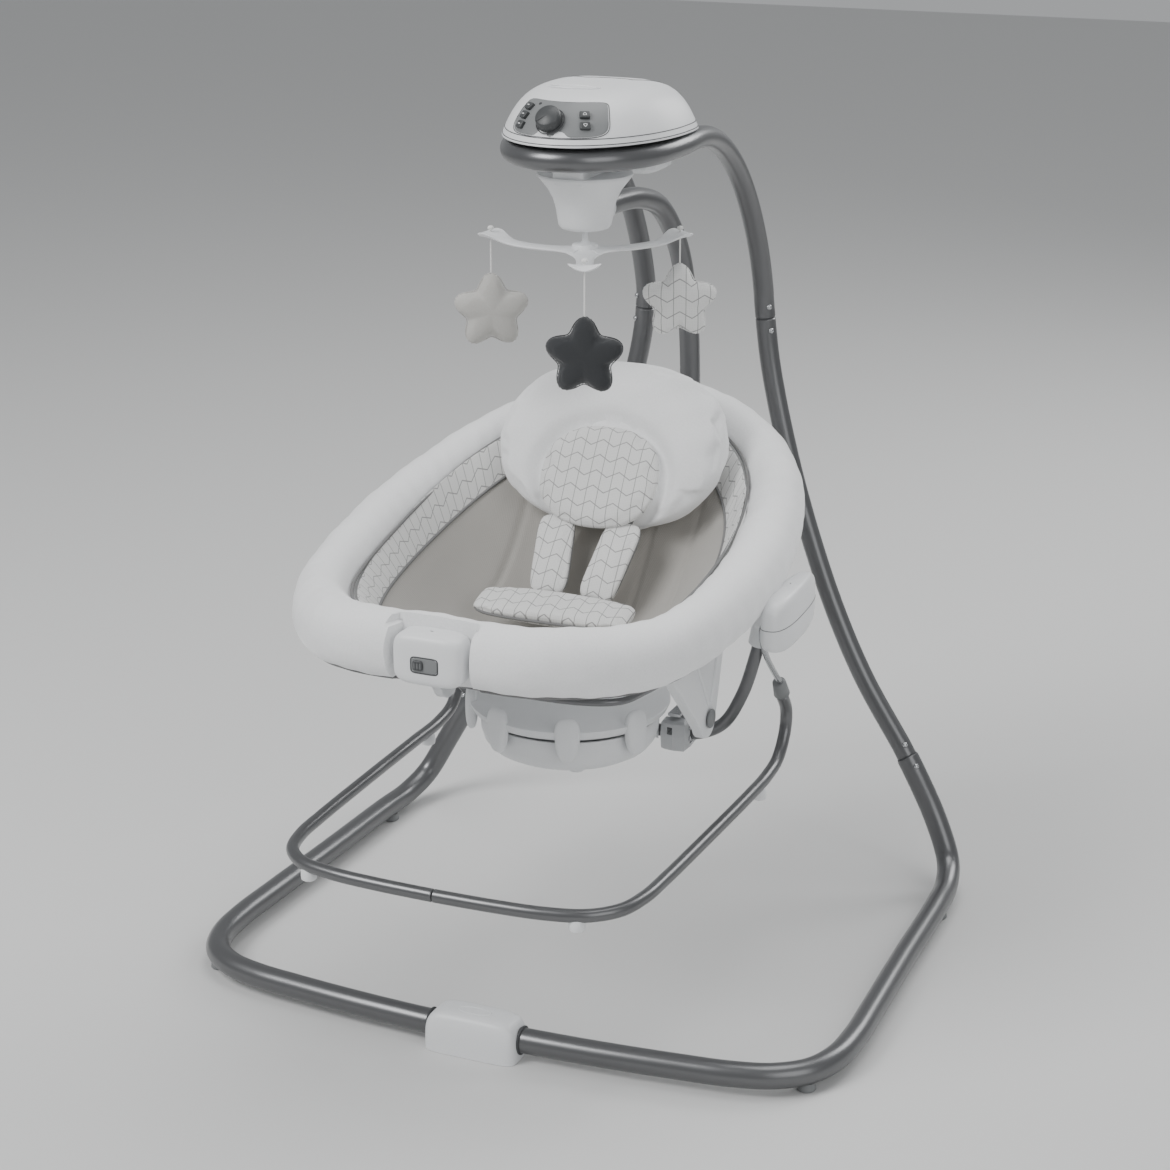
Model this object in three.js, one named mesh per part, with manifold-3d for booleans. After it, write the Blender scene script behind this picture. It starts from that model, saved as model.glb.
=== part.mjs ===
// Baby swing with a lift-off bouncer, drawn in millimetres with +Z up.
// The swing faces -Y. The origin lies on the floor, under the middle of the whole object.
import * as THREE from 'three';
import Module from 'manifold-3d';
import { mergeVertices } from 'three/addons/utils/BufferGeometryUtils.js';
import { ParametricGeometry } from 'three/addons/geometries/ParametricGeometry.js';

const wasm = await Module();
wasm.setup();

// ---------------------------------------------------------------- driving dimensions

const GAP = 0.3;                 // clearance kept between pieces that touch
const BASE_R = 12.7;             // one-inch base tube
const LEG_R = 11.2;              // leg and swing arm tube
const STAND_R = 6.5;             // bouncer tube
const ROD_R = 3;                 // spring rod
const WIRE_R = 3.5;              // wire under the seat rim
const FOOT_H = 6.2;              // floor foot, below the base tube
const BASE_Z = FOOT_H + BASE_R + GAP;

const FRONT_Y = -260.5;          // middle of the front bar
const FRONT_BOW = 0.28e-3;       // how far the front bar bows, per mm squared
const SIDE_X = 345;              // half width between the side bars
const LOWER_SEAM_Z = 141;
const UPPER_SEAM_Z = 616;

const LOOP_X = 82;               // half width of the loop round the head
const LOOP_Z = 849;
const LOOP_LENGTH = 125;         // from the widest part of the loop to its front
const HEAD_Z = LOOP_Z + LEG_R + 1.2;
const HEAD_X = 91;
const HEAD_FRONT_Y = -81;
const HEAD_REAR_Y = 120;
const HEAD_MID_Y = 55;
const HEAD_H = 46;
const HEAD_WALL = 3;
const HEAD_BULGE = 5.5;         // how square the head's dome is

const AXLE_Z = LOOP_Z;
const AXLE_R = 5;
const HUB_Y = 9;
const HUB_BOTTOM_Z = 769;
const ARM_SEAM_Z = 470;

const DISH_Y = -30;
const DISH_R = 92;
const DISH_TOP_Z = 275;
const HOOP_Y = 22;
const HOOP_Z = 247;

const STAND_Z = 204;
const STAND_FRONT_Y = -349;
const STAND_X = 190;
const PLUG_Y = 86;
const PLUG_Z = 281;

const RIM_R = 30;                // thickness of the padded rim
const SEAT_Y = -60;              // deepest point of the seat
const SEAT_Z = 358;
const PIN_Y = -25;               // recline pins
const PIN_Z = 288;

const SPIDER_Z = 748;
const SPIDER_R = 110;
const SPIDER_TURN = -1.17;       // heading of the front arm, radians from +X
const STAR_R = 39;
const STAR_HALF_T = 11;

// ---------------------------------------------------------------- colours

const paint = (color, roughness, metalness = 0) =>
  () => new THREE.MeshStandardMaterial({ color, roughness, metalness });
const greyPaint = paint(0x7d8081, 0.38, 0.55);
const whitePlastic = paint(0xe9ebec, 0.42);
const panelGrey = paint(0x8d9192, 0.45);
const darkPlastic = paint(0x4c4f51, 0.5);
const steel = paint(0xb9bcbe, 0.3, 0.9);
const plush = paint(0xeef0f1, 0.95);
const linerCloth = paint(0xb7b5b0, 0.9);
const printCloth = paint(0xdcdcda, 0.9);
const charcoalPlush = paint(0x34373a, 0.95);
const boardGreen = paint(0x2f6b4a, 0.6);
const cellBlue = paint(0x3c5f86, 0.4, 0.3);
const stringWhite = paint(0xf0f0ee, 0.8);

// ---------------------------------------------------------------- geometry helpers

const V = (x, y, z) => new THREE.Vector3(x, y, z);
const mirrorX = (points) => points.map((p) => V(-p.x, p.y, p.z));

/** Keeps positions only, merges shared corners, drops empty faces and turns the faces outwards. */
function closed(geometry) {
  const bare = geometry.index ? geometry.toNonIndexed() : geometry.clone();
  bare.deleteAttribute('normal');
  bare.deleteAttribute('uv');
  const welded = mergeVertices(bare, 1e-3);
  const index = welded.index.array;
  const kept = [];
  for (let i = 0; i < index.length; i += 3) {
    const [a, b, c] = [index[i], index[i + 1], index[i + 2]];
    if (a !== b && b !== c && c !== a) kept.push(a, b, c);
  }
  welded.setIndex(kept);
  const p = welded.attributes.position;
  const corner = (i) => V(p.getX(i), p.getY(i), p.getZ(i));
  let volume = 0;
  for (let i = 0; i < kept.length; i += 3) {
    volume += corner(kept[i]).dot(corner(kept[i + 1]).cross(corner(kept[i + 2])));
  }
  if (volume < 0) {
    for (let i = 0; i < kept.length; i += 3) [kept[i + 1], kept[i + 2]] = [kept[i + 2], kept[i + 1]];
    welded.setIndex(kept);
  }
  return welded;
}

/** A manifold-3d solid from a three.js geometry. */
function solid(geometry) {
  const g = closed(geometry);
  return new wasm.Manifold(new wasm.Mesh({
    numProp: 3,
    vertProperties: Float32Array.from(g.attributes.position.array),
    triVerts: Uint32Array.from(g.index.array),
  }));
}

/** A three.js geometry from a manifold-3d solid. */
function shape(body) {
  const mesh = body.getMesh();
  const g = new THREE.BufferGeometry();
  g.setAttribute('position', new THREE.BufferAttribute(Float32Array.from(mesh.vertProperties), 3));
  g.setIndex(new THREE.BufferAttribute(Uint32Array.from(mesh.triVerts), 1));
  return g;
}

const join = (...geometries) => shape(geometries.map(solid).reduce((a, b) => a.add(b)));
const cut = (geometry, ...tools) => shape(tools.map(solid).reduce((a, b) => a.subtract(b), solid(geometry)));

/** A tube of the given radius whose centre line runs smoothly through the points. */
function tube(points, radius, steps, sides = 8) {
  const circle = new THREE.Shape();
  for (let i = 0; i < sides; i += 1) {
    const a = (i / sides) * 2 * Math.PI;
    const [x, y] = [radius * Math.cos(a), radius * Math.sin(a)];
    if (i === 0) circle.moveTo(x, y);
    else circle.lineTo(x, y);
  }
  circle.closePath();
  const extrudePath = new THREE.CatmullRomCurve3(points, false, 'centripetal');
  return closed(new THREE.ExtrudeGeometry(circle, { steps, extrudePath, bevelEnabled: false }));
}

/** A closed solid from a surface f(u, v) that ends in poles or meets itself at its edges. */
const surface = (f, nu, nv) => closed(new ParametricGeometry((u, v, target) => target.copy(f(u, v)), nu, nv));

/** sign(t) times |t| to the power e, which squares up a cosine or sine. */
const squared = (t, e) => Math.sign(t) * Math.abs(t) ** e;

/** A rounded box or pillow: a superellipsoid with half sizes a, b, c. */
function pebble([a, b, c], roundPlan = 0.6, roundSide = 0.6, nu = 20, nv = 10) {
  return surface((u, v) => {
    const [t, s] = [u * 2 * Math.PI, (v - 0.5) * Math.PI];
    const ring = squared(Math.cos(s), roundSide);
    return V(a * ring * squared(Math.cos(t), roundPlan), b * ring * squared(Math.sin(t), roundPlan),
      c * squared(Math.sin(s), roundSide));
  }, nu, nv);
}

const box = (x, y, z, cx = 0, cy = 0, cz = 0) => new THREE.BoxGeometry(x, y, z).translate(cx, cy, cz);

/** A cylinder between two points. */
function rod(from, to, radius, sides = 16, endRadius = radius) {
  const along = to.clone().sub(from);
  const g = new THREE.CylinderGeometry(endRadius, radius, along.length(), sides);
  g.applyQuaternion(new THREE.Quaternion().setFromUnitVectors(V(0, 1, 0), along.clone().normalize()));
  const middle = from.clone().add(to).multiplyScalar(0.5);
  return g.translate(middle.x, middle.y, middle.z);
}

// ---------------------------------------------------------------- assembly

const swing = new THREE.Group();

/** Adds one named piece to the assembly. */
function add(name, geometry, material) {
  const mesh = new THREE.Mesh(geometry, material());
  mesh.name = name;
  swing.add(mesh);
}

// ---------------------------------------------------------------- frame

const frontBarY = (x) => FRONT_Y + FRONT_BOW * x * x;

/** A joint between two tubes: where it is and which way the tubes run through it. */
const LOWER_SEAM = { at: V(266.5, 302.5, LOWER_SEAM_Z), along: V(-0.54, 0.12, 0.833).normalize() };
const UPPER_SEAM = { at: V(71.5, 347, UPPER_SEAM_Z), along: V(-0.09, -0.06, 0.994).normalize() };
const before = ({ at, along }) => [at.clone().addScaledVector(along, -14), at];
const after = ({ at, along }) => [0.8, 14].map((d) => at.clone().addScaledVector(along, d));

/** Right half of the base: front bar, corner, side bar, rear bend and the start of the leg. */
const basePoints = [
  ...[0.3, 70, 140, 210, 258].map((x) => V(x, frontBarY(x), BASE_Z)),
  V(297, -230, BASE_Z), V(326, -207, BASE_Z), V(341, -172, BASE_Z),
  V(SIDE_X + 0.5, -125, BASE_Z), V(SIDE_X - 1, -60, BASE_Z), V(SIDE_X - 5, 60, BASE_Z),
  V(SIDE_X - 8, 190, BASE_Z), V(SIDE_X - 12, 246, BASE_Z + 1.5), V(324, 281, 35), V(303, 296, 77),
  ...before(LOWER_SEAM),
];
const legPoints = [
  ...after(LOWER_SEAM), V(208, 318, 222), V(166, 328, 300), V(126, 337, 398),
  V(97, 343, 489), V(79, 347, 562), ...before(UPPER_SEAM),
];
const loopHalf = [
  ...after(UPPER_SEAM), V(70, 342, 650), V(70, 324, 696), V(70, 292, 748),
  V(71, 250, 792), V(73, 205, 822), V(76, 160, 840), V(80, 110, LOOP_Z), V(LOOP_X, HEAD_MID_Y, LOOP_Z),
];
const loopFront = [62, 36, 12, -12, -36, -62].map((deg) => {
  const a = (deg * Math.PI) / 180;
  return V(LOOP_X * Math.sin(a), HEAD_MID_Y - LOOP_LENGTH * Math.cos(a), LOOP_Z - 1.5);
});

for (const [side, points] of [['right', (p) => p], ['left', mirrorX]]) {
  add(`base_tube_${side}`, tube(points(basePoints), BASE_R, 26), greyPaint);
  add(`leg_tube_${side}`, tube(points(legPoints), LEG_R, 12), greyPaint);
}
add('head_loop_tube', tube([...loopHalf, ...loopFront, ...mirrorX(loopHalf).reverse()], LEG_R, 34), greyPaint);

/** White cover that joins the two halves of the front bar and stands on the floor. */
function footCover() {
  const hood = pebble([49, 22, 43], 0.35, 0.42, 16, 8).translate(0, FRONT_Y - 2, 0);
  const bar = [-80, -40, 0, 40, 80].map((x) => V(x, frontBarY(x), BASE_Z));
  return cut(hood, box(200, 200, 100, 0, FRONT_Y, -50), tube(bar, BASE_R + 1.2, 8, 12));
}
add('foot_cover', footCover(), whitePlastic);

/** Small round floor foot under a base tube. */
const floorFoot = (x, y) => rod(V(x, y, 0), V(x, y, FOOT_H), 8, 12, 10);
for (const [side, s] of [['right', 1], ['left', -1]]) {
  add(`frame_foot_front_${side}`, closed(floorFoot(s * 324, -208)), darkPlastic);
  add(`frame_foot_rear_${side}`, closed(floorFoot(s * (SIDE_X - 9), 205)), darkPlastic);
}

// ---------------------------------------------------------------- head

/** Outline of the head at angle t, scaled by r and drawn in by inset. */
function headOutline(t, r, inset) {
  const [c, s] = [Math.cos(t), Math.sin(t)];
  const square = s < 0 ? 1 : 0.62;
  const length = s < 0 ? HEAD_MID_Y - HEAD_FRONT_Y : HEAD_REAR_Y - HEAD_MID_Y;
  return [(HEAD_X - inset) * r * squared(c, square), HEAD_MID_Y + (length - inset) * r * squared(s, square)];
}

/** Point on the head's dome, r from its middle (0) to its edge (1), sunk by inset. */
function domePoint(t, r, inset) {
  const [x, y] = headOutline(t, r, Math.max(inset, 0));
  return V(x, y, HEAD_Z + (HEAD_H - Math.max(inset, 0)) * (1 - r ** HEAD_BULGE) - Math.min(inset, 0));
}

/** A closed patch over the dome: its top and bottom are sheets, and its edge joins them. */
function domePatch(angles, radii, outer, inner) {
  const [nu, nv] = [8, 4];
  const positions = [];
  const index = [];
  const at = (i, j, k) => k * (nu + 1) * (nv + 1) + i * (nv + 1) + j;
  for (const lift of [outer, inner]) {
    for (let i = 0; i <= nu; i += 1) {
      for (let j = 0; j <= nv; j += 1) {
        const t = THREE.MathUtils.lerp(angles[0], angles[1], i / nu);
        const r = THREE.MathUtils.lerp(radii[0], radii[1], j / nv);
        const p = domePoint(t, r, 0);
        positions.push(p.x, p.y, p.z + lift);
      }
    }
  }
  const quad = (a, b, c, d) => index.push(a, b, c, a, c, d);
  for (let i = 0; i < nu; i += 1) {
    for (let j = 0; j < nv; j += 1) {
      quad(at(i, j, 0), at(i + 1, j, 0), at(i + 1, j + 1, 0), at(i, j + 1, 0));
      quad(at(i, j, 1), at(i, j + 1, 1), at(i + 1, j + 1, 1), at(i + 1, j, 1));
    }
    quad(at(i, 0, 0), at(i, 0, 1), at(i + 1, 0, 1), at(i + 1, 0, 0));
    quad(at(i + 1, nv, 0), at(i + 1, nv, 1), at(i, nv, 1), at(i, nv, 0));
  }
  for (let j = 0; j < nv; j += 1) {
    quad(at(0, j + 1, 0), at(0, j + 1, 1), at(0, j, 1), at(0, j, 0));
    quad(at(nu, j, 0), at(nu, j, 1), at(nu, j + 1, 1), at(nu, j + 1, 0));
  }
  const g = new THREE.BufferGeometry();
  g.setAttribute('position', new THREE.Float32BufferAttribute(positions, 3));
  g.setIndex(index);
  return closed(g);
}

const FRONT = -Math.PI / 2;
const PANEL_ANGLES = [FRONT - 0.64, FRONT + 0.64];
const PANEL_RADII = [0.73, 0.965];
const DOOR_ANGLES = [Math.PI / 2 - 1, Math.PI / 2 + 1];
const DOOR_RADII = [0.3, 0.92];

/** The region of the head's dome between its edge ring and its middle, sunk by inset, down to z. */
function domeSolid(inset, bottom) {
  return surface((u, v) => {
    const t = u * 2 * Math.PI;
    if (v > 0.95) return V(0, HEAD_MID_Y, bottom);
    if (v > 0.85) return V(...headOutline(t, 1, inset), bottom);
    return domePoint(t, Math.min(v / 0.8, 1), inset);
  }, 24, 10);
}

/** Grows a range at both ends. */
const wider = ([a, b], by) => [a - by, b + by];

const topCover = cut(domeSolid(0, HEAD_Z - 0.2), domeSolid(HEAD_WALL, HEAD_Z - 5),
  domePatch(wider(PANEL_ANGLES, 0.006), wider(PANEL_RADII, 0.005), 4, -9),
  domePatch(wider(DOOR_ANGLES, 0.008), wider(DOOR_RADII, 0.006), 4, -9));
add('head_top_cover', topCover, whitePlastic);

/** Lower cover: a tray inside the loop with room for the hub, and a deeper box at the rear. */
function lowerCover() {
  const [top, bottom] = [HEAD_Z - 1, AXLE_Z - 8];
  const inset = LEG_R + 2.4;
  const outline = new THREE.Shape();
  outline.absellipse(0, HEAD_MID_Y, LOOP_X - inset, LOOP_LENGTH - inset, Math.PI, 2 * Math.PI);
  outline.lineTo(LOOP_X - inset - 5, 116);
  outline.lineTo(-(LOOP_X - inset - 5), 116);
  outline.closePath();
  const plate = new THREE.ExtrudeGeometry(outline, {
    depth: top - bottom, bevelEnabled: false, curveSegments: 10,
  }).translate(0, 0, bottom);
  const rear = pebble([57, 28, 26], 0.35, 0.35, 12, 6).translate(0, 87, bottom);
  const rearClear = box(200, 200, 60, 0, 88, top + 30);
  const well = box(50, 92, 60, 0, HUB_Y - 2, bottom);
  const bore = rod(V(0, -55.5, AXLE_Z), V(0, 68, AXLE_Z), AXLE_R + GAP, 12);
  return cut(join(plate, cut(rear, rearClear)), well, bore);
}
add('head_lower_cover', lowerCover(), whitePlastic);

/** Turns and moves a piece drawn around the origin on to the panel, at angle t and radius r. */
function onPanel(geometry, t, r, lift) {
  const p = domePoint(t, r, 0);
  const du = domePoint(t + 0.02, r, 0).sub(domePoint(t - 0.02, r, 0));
  const dr = domePoint(t, r + 0.02, 0).sub(domePoint(t, r - 0.02, 0));
  const normal = dr.cross(du).normalize();
  if (normal.z < 0) normal.negate();
  const across = du.normalize();
  const up = normal.clone().cross(across);
  const m = new THREE.Matrix4().makeBasis(across, up, normal).setPosition(p.addScaledVector(normal, lift));
  return geometry.applyMatrix4(m);
}

const BUTTONS = [
  ['mode_button_top', FRONT - 0.47, 0.817], ['mode_button_middle', FRONT - 0.465, 0.876],
  ['mode_button_bottom', FRONT - 0.45, 0.927],
  ['volume_up_button', FRONT + 0.35, 0.85], ['volume_down_button', FRONT + 0.37, 0.912],
];
const [BUTTON_W, BUTTON_H, BUTTON_T] = [9.5, 7.5, 4];
const DIAL_R = 13;
const DIAL_AT = [FRONT - 0.04, 0.89];

const wells = BUTTONS.map(([, t, r]) => onPanel(box(BUTTON_W + 0.8, BUTTON_H + 0.8, 30), t, r, 0));
const shaftHole = onPanel(rod(V(0, 0, -12), V(0, 0, 12), 3.4, 16), ...DIAL_AT, 0);
add('control_panel', cut(domePatch(PANEL_ANGLES, PANEL_RADII, 0.2, -2.6), ...wells, shaftHole), panelGrey);
for (const [name, t, r] of BUTTONS) {
  add(name, closed(onPanel(pebble([BUTTON_W / 2, BUTTON_H / 2, BUTTON_T / 2], 0.3, 0.3, 8, 4), t, r, 0.4)),
    darkPlastic);
}
const dial = join(rod(V(0, 0, 2.2), V(0, 0, 11), DIAL_R, 20, DIAL_R - 1.5), rod(V(0, 0, -4), V(0, 0, 4), 3, 10),
  box(2.2, DIAL_R, 1.4, 0, DIAL_R / 2 - 1, 11));
add('speed_dial', onPanel(dial, ...DIAL_AT, 0), darkPlastic);
add('battery_door', domePatch(DOOR_ANGLES, DOOR_RADII, 0, -2.4), whitePlastic);

add('drive_motor', join(rod(V(34, -12, 876), V(34, 28, 876), 13, 14), rod(V(34, 28, 876), V(34, 36, 876), 3, 10)),
  steel);
add('circuit_board', box(60, 30, 1.6, -10, -24, 865), boardGreen);
add('battery_pack', join(...[-22, 0, 22].map((x) => rod(V(x, 50, 872), V(x, 94, 872), 11.2, 12))), cellBlue);

// ---------------------------------------------------------------- hub and swing arm

/** Tapered hub: a turned cone with a neck up to the axle and a socket for the arm at the back. */
function hangerHub() {
  const profile = [[0, 0], [22, 0], [26, 3], [28, 14], [31, 28], [37, 40], [46, 50], [47.5, 53], [46, 55], [0, 55]];
  const cone = new THREE.LatheGeometry(profile.map(([r, z]) => new THREE.Vector2(r, z)), 18)
    .rotateX(Math.PI / 2).translate(0, HUB_Y, HUB_BOTTOM_Z);
  const neck = box(34, 84, AXLE_Z + 8 - 820, 0, HUB_Y - 2, (AXLE_Z + 8 + 820) / 2);
  const socket = rod(V(0, HUB_Y + 10, 783), V(0, HUB_Y + 44, 783), 16, 12, 14.5);
  const bore = rod(V(0, -200, AXLE_Z), V(0, 200, AXLE_Z), AXLE_R + GAP, 12);
  const armHole = rod(V(0, HUB_Y + 20, 783), V(0, HUB_Y + 90, 783), LEG_R + 1, 12);
  return cut(join(cone, neck, socket), bore, armHole);
}
add('hanger_hub', hangerHub(), whitePlastic);
add('pivot_axle', closed(rod(V(0, -54, AXLE_Z), V(0, 66, AXLE_Z), AXLE_R, 12)), steel);

const armUpper = [
  V(0, HUB_Y + 22, 783), V(0, 90, 782), V(0, 150, 776), V(0, 208, 757), V(0, 262, 706), V(0, 291, 640),
  V(0, 303, 560), V(0, 301.5, ARM_SEAM_Z),
];
const armLower = [
  V(0, 301.5, ARM_SEAM_Z - 0.6), V(0, 297, 400), V(0, 287, 330), V(0, 262, 272), V(0, 218, 236),
  V(0, 165, 226), V(0, 110, 225), V(0, 66, 225),
];
add('swing_arm_upper', tube(armUpper, LEG_R, 16), greyPaint);
add('swing_arm_lower', tube(armLower, LEG_R, 16), greyPaint);

// ---------------------------------------------------------------- dish and latch

/** Round dish: an open cup with two saddles for the hoop, bumps under it and a socket for the arm. */
function seatDish() {
  const profile = [[0, 235], [60, 235], [82, 243], [DISH_R, 262], [DISH_R, DISH_TOP_Z],
    [DISH_R - 4, DISH_TOP_Z], [DISH_R - 4, 264], [79, 247], [58, 239.5], [0, 239.5]];
  const cup = new THREE.LatheGeometry(profile.map(([r, z]) => new THREE.Vector2(r, z)), 20)
    .rotateX(Math.PI / 2).translate(0, DISH_Y, 0);
  const socket = box(46, 68, 32, 0, 66, 225);
  const bumps = [-26, 26].map((x) => pebble([11, 11, 8], 1, 1, 8, 6).translate(x, DISH_Y - 44, 236));
  const groove = box(260, 15, 80, 0, HOOP_Y, 240 + 40);
  const armHole = rod(V(0, 64, 225), V(0, 130, 225), LEG_R + 1, 12);
  return cut(join(cup, socket, ...bumps), groove, armHole);
}
add('seat_dish', seatDish(), whitePlastic);

const LATCH_X = 101;

/** Bracket beside the dish: a block with an open channel that the hoop drops into. */
function latchBracket() {
  const block = pebble([15, 19, 17], 0.3, 0.3, 8, 6).translate(LATCH_X, HOOP_Y - 3, 250);
  const channel = box(60, 15, 60, LATCH_X, HOOP_Y, 240 + 30);
  const slot = box(6, 30, 8, LATCH_X - 3, HOOP_Y - 20, 256);
  return cut(block, channel, slot);
}
add('latch_bracket', latchBracket(), panelGrey);
const LEVER_Z = 272.5;
add('latch_lever', join(box(13, 36, 3, LATCH_X, HOOP_Y + 0.8, LEVER_Z), box(13, 3, 9, LATCH_X, HOOP_Y + 17.3, LEVER_Z - 3)),
  steel);

// ---------------------------------------------------------------- mobile

const STEM_TOP = HUB_BOTTOM_Z - GAP;
const armHeading = (i) => SPIDER_TURN + (i * 2 * Math.PI) / 3;
const tipAt = (i, r = SPIDER_R) => V(r * Math.cos(armHeading(i)), HUB_Y + r * Math.sin(armHeading(i)), SPIDER_Z);

/** Three-armed spider with spoon-shaped tips on a short stem. */
function mobileSpider() {
  const hub = pebble([17, 17, 7], 1, 1, 12, 6).translate(0, 0, 1);
  const stem = rod(V(0, 0, 2), V(0, 0, STEM_TOP - SPIDER_Z), 3, 8);
  const arms = [0, 1, 2].map((i) => {
    const blade = surface((u, v) => {
      const t = u * 2 * Math.PI;
      const s = THREE.MathUtils.clamp(v, 0, 1);
      const x = s * (SPIDER_R + 13);
      const swell = Math.exp(-(((x - SPIDER_R) / 16) ** 2));
      const end = Math.sqrt(Math.max(0, 1 - Math.max(0, (x - SPIDER_R) / 13) ** 2));
      const w = (7 + 9 * Math.exp(-((x / 18) ** 2)) + 8 * swell) * (v === 0 ? 0 : end);
      const h = (v === 0 ? 0 : 2.4 * end);
      return V(x, w * Math.cos(t), h * Math.sin(t) + 5 * swell - 1.5 * Math.sin((Math.PI * x) / SPIDER_R));
    }, 6, 12);
    return blade.rotateZ(armHeading(i));
  });
  const holes = [0, 1, 2].map((i) => {
    const p = tipAt(i);
    return rod(V(p.x, p.y - HUB_Y, -20), V(p.x, p.y - HUB_Y, 20), 2.4, 8);
  });
  return cut(join(hub, stem, ...arms), ...holes).translate(0, HUB_Y, SPIDER_Z);
}
add('mobile_spider', mobileSpider(), whitePlastic);

/** Puffy five-pointed star standing upright, seen from the front. */
function plushStar() {
  return surface((u, v) => {
    const t = u * 2 * Math.PI;
    const s = (v - 0.5) * Math.PI;
    const r = STAR_R * (0.8 + 0.2 * Math.cos(5 * t)) * Math.abs(Math.cos(s)) ** 0.7;
    return V(r * Math.sin(t), STAR_HALF_T * Math.sin(s), r * Math.cos(t));
  }, 20, 6);
}

const STARS = [['front', 82, charcoalPlush], ['right', 64, printCloth], ['left', 74, linerCloth]];
STARS.forEach(([side, drop, cloth], i) => {
  const tip = tipAt(i);
  add(`star_${side}`, plushStar().rotateZ(armHeading(0) + Math.PI / 2 + 0.12 * (i - 1))
    .translate(tip.x, tip.y, SPIDER_Z - drop), cloth);
  add(`star_string_${side}`,
    join(rod(V(tip.x, tip.y, SPIDER_Z - drop + STAR_R + GAP), V(tip.x, tip.y, SPIDER_Z + 12), 0.9, 8),
      pebble([3.4, 3.4, 2.4], 1, 1, 8, 6).translate(tip.x, tip.y, SPIDER_Z + 11)), stringWhite);
});

// ---------------------------------------------------------------- bouncer base

const standHalf = [
  V(0.3, STAND_FRONT_Y, STAND_Z), V(60, STAND_FRONT_Y + 1.5, STAND_Z), V(110, STAND_FRONT_Y + 6, STAND_Z),
  V(148, STAND_FRONT_Y + 17, STAND_Z), V(172, STAND_FRONT_Y + 40, STAND_Z), V(182, STAND_FRONT_Y + 74, STAND_Z),
  V(185, -230, STAND_Z), V(188, -120, STAND_Z), V(STAND_X, -10, STAND_Z), V(STAND_X, 45, STAND_Z + 1),
  V(STAND_X, 79, 213), V(STAND_X, 99, 236), V(STAND_X, 101, 258), V(STAND_X, PLUG_Y, PLUG_Z - 0.8),
];
const hoopHalf = [
  V(192, HOOP_Y, 384), V(183, HOOP_Y, 346), V(169, HOOP_Y, 300), V(148, HOOP_Y, 264), V(118, HOOP_Y, 249),
  V(70, HOOP_Y, HOOP_Z),
];

/** Hoop under the seat, with a lug and a recline pin on each side. */
function hangerHoop() {
  const path = [...hoopHalf, V(0, HOOP_Y, HOOP_Z), ...mirrorX(hoopHalf).reverse()];
  const lugs = [1, -1].flatMap((s) => [
    box(7, 58, 15, 0, 0, 0).rotateX(-0.62).translate(s * 132, 0, 272),
    rod(V(s * 129, PIN_Y, PIN_Z), V(s * 153.5, PIN_Y, PIN_Z), 7, 14),
    rod(V(s * 151.6, PIN_Y, PIN_Z), V(s * 154, PIN_Y, PIN_Z), 10, 14),
  ]);
  return join(tube(path, STAND_R, 26), ...lugs);
}
add('hanger_hoop', hangerHoop(), greyPaint);

/** Spring rod from the handle down to a plug over the end of the stand tube. */
function springRod(s) {
  const path = [V(s * 196, 0, 385), V(s * 196, 1, 372), V(s * 197, 12, 350), V(s * 195, 50, 315), V(s * 191, PLUG_Y - 6, PLUG_Z + 14)];
  const plug = rod(V(s * STAND_X, PLUG_Y, PLUG_Z), V(s * STAND_X, PLUG_Y - 11, PLUG_Z + 18), 8.5, 12, 7);
  return join(tube(path, ROD_R, 9, 6), plug);
}

/** Carry handle beside the seat, with a sleeve that takes the end of the hoop. */
function carryHandle(s) {
  const ear = pebble([14, 62, 25], 0.8, 0.7, 14, 8).translate(s * 237, -36, 415);
  const sleeve = rod(V(s * 185, HOOP_Y, 356), V(s * 193.5, HOOP_Y, 398), 10.5, 12, 11);
  const bridge = box(50, 26, 24, s * 211, 10, 392);
  const bore = rod(V(s * 182.4, HOOP_Y, 344), V(s * 192.6, HOOP_Y, 388), STAND_R + 0.9, 12);
  const rodHole = rod(V(s * 196, 0, 360), V(s * 196, 0, 386), ROD_R + 1.5, 8);
  return cut(join(ear, sleeve, bridge), bore, rodHole);
}

for (const [side, s, points] of [['right', 1, (p) => p], ['left', -1, mirrorX]]) {
  add(`stand_tube_${side}`, tube(points(standHalf), STAND_R, 24), greyPaint);
  add(`stand_foot_front_${side}`, closed(rod(V(s * 140, -335, 189), V(s * 140, -335, STAND_Z - STAND_R - GAP),
    7, 10, 8)), whitePlastic);
  add(`stand_foot_rear_${side}`, closed(rod(V(s * STAND_X, 20, 189), V(s * STAND_X, 20, STAND_Z - STAND_R - GAP),
    7, 10, 8)), whitePlastic);
  add(`spring_rod_${side}`, springRod(s), steel);
  add(`carry_handle_${side}`, carryHandle(s), whitePlastic);
}

/** Under-pan: a plate on the dish with tapered fingers outside its rim and two saddles on the hoop. */
function underPan() {
  const plate = new THREE.CylinderGeometry(104, 98, 13, 24).rotateX(Math.PI / 2).translate(0, DISH_Y, 285);
  const fingers = [-64, -22, 22, 64].map((deg) => {
    const a = FRONT + (deg * Math.PI) / 180;
    const fin = pebble([7, 17, 26], 0.7, 0.8, 8, 6).translate(DISH_R + 9, 0, 272);
    return fin.rotateZ(a).translate(0, DISH_Y, 0);
  });
  const hoopRoom = box(400, 30, 60, 0, HOOP_Y, 248);
  const dishRoom = new THREE.CylinderGeometry(DISH_R + 1, DISH_R + 2, 60, 24).rotateX(Math.PI / 2)
    .translate(0, DISH_Y, 278.4 - 30);
  return cut(join(plate, ...fingers), dishRoom, hoopRoom);
}
add('under_pan', underPan(), whitePlastic);

// ---------------------------------------------------------------- seat

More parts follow.
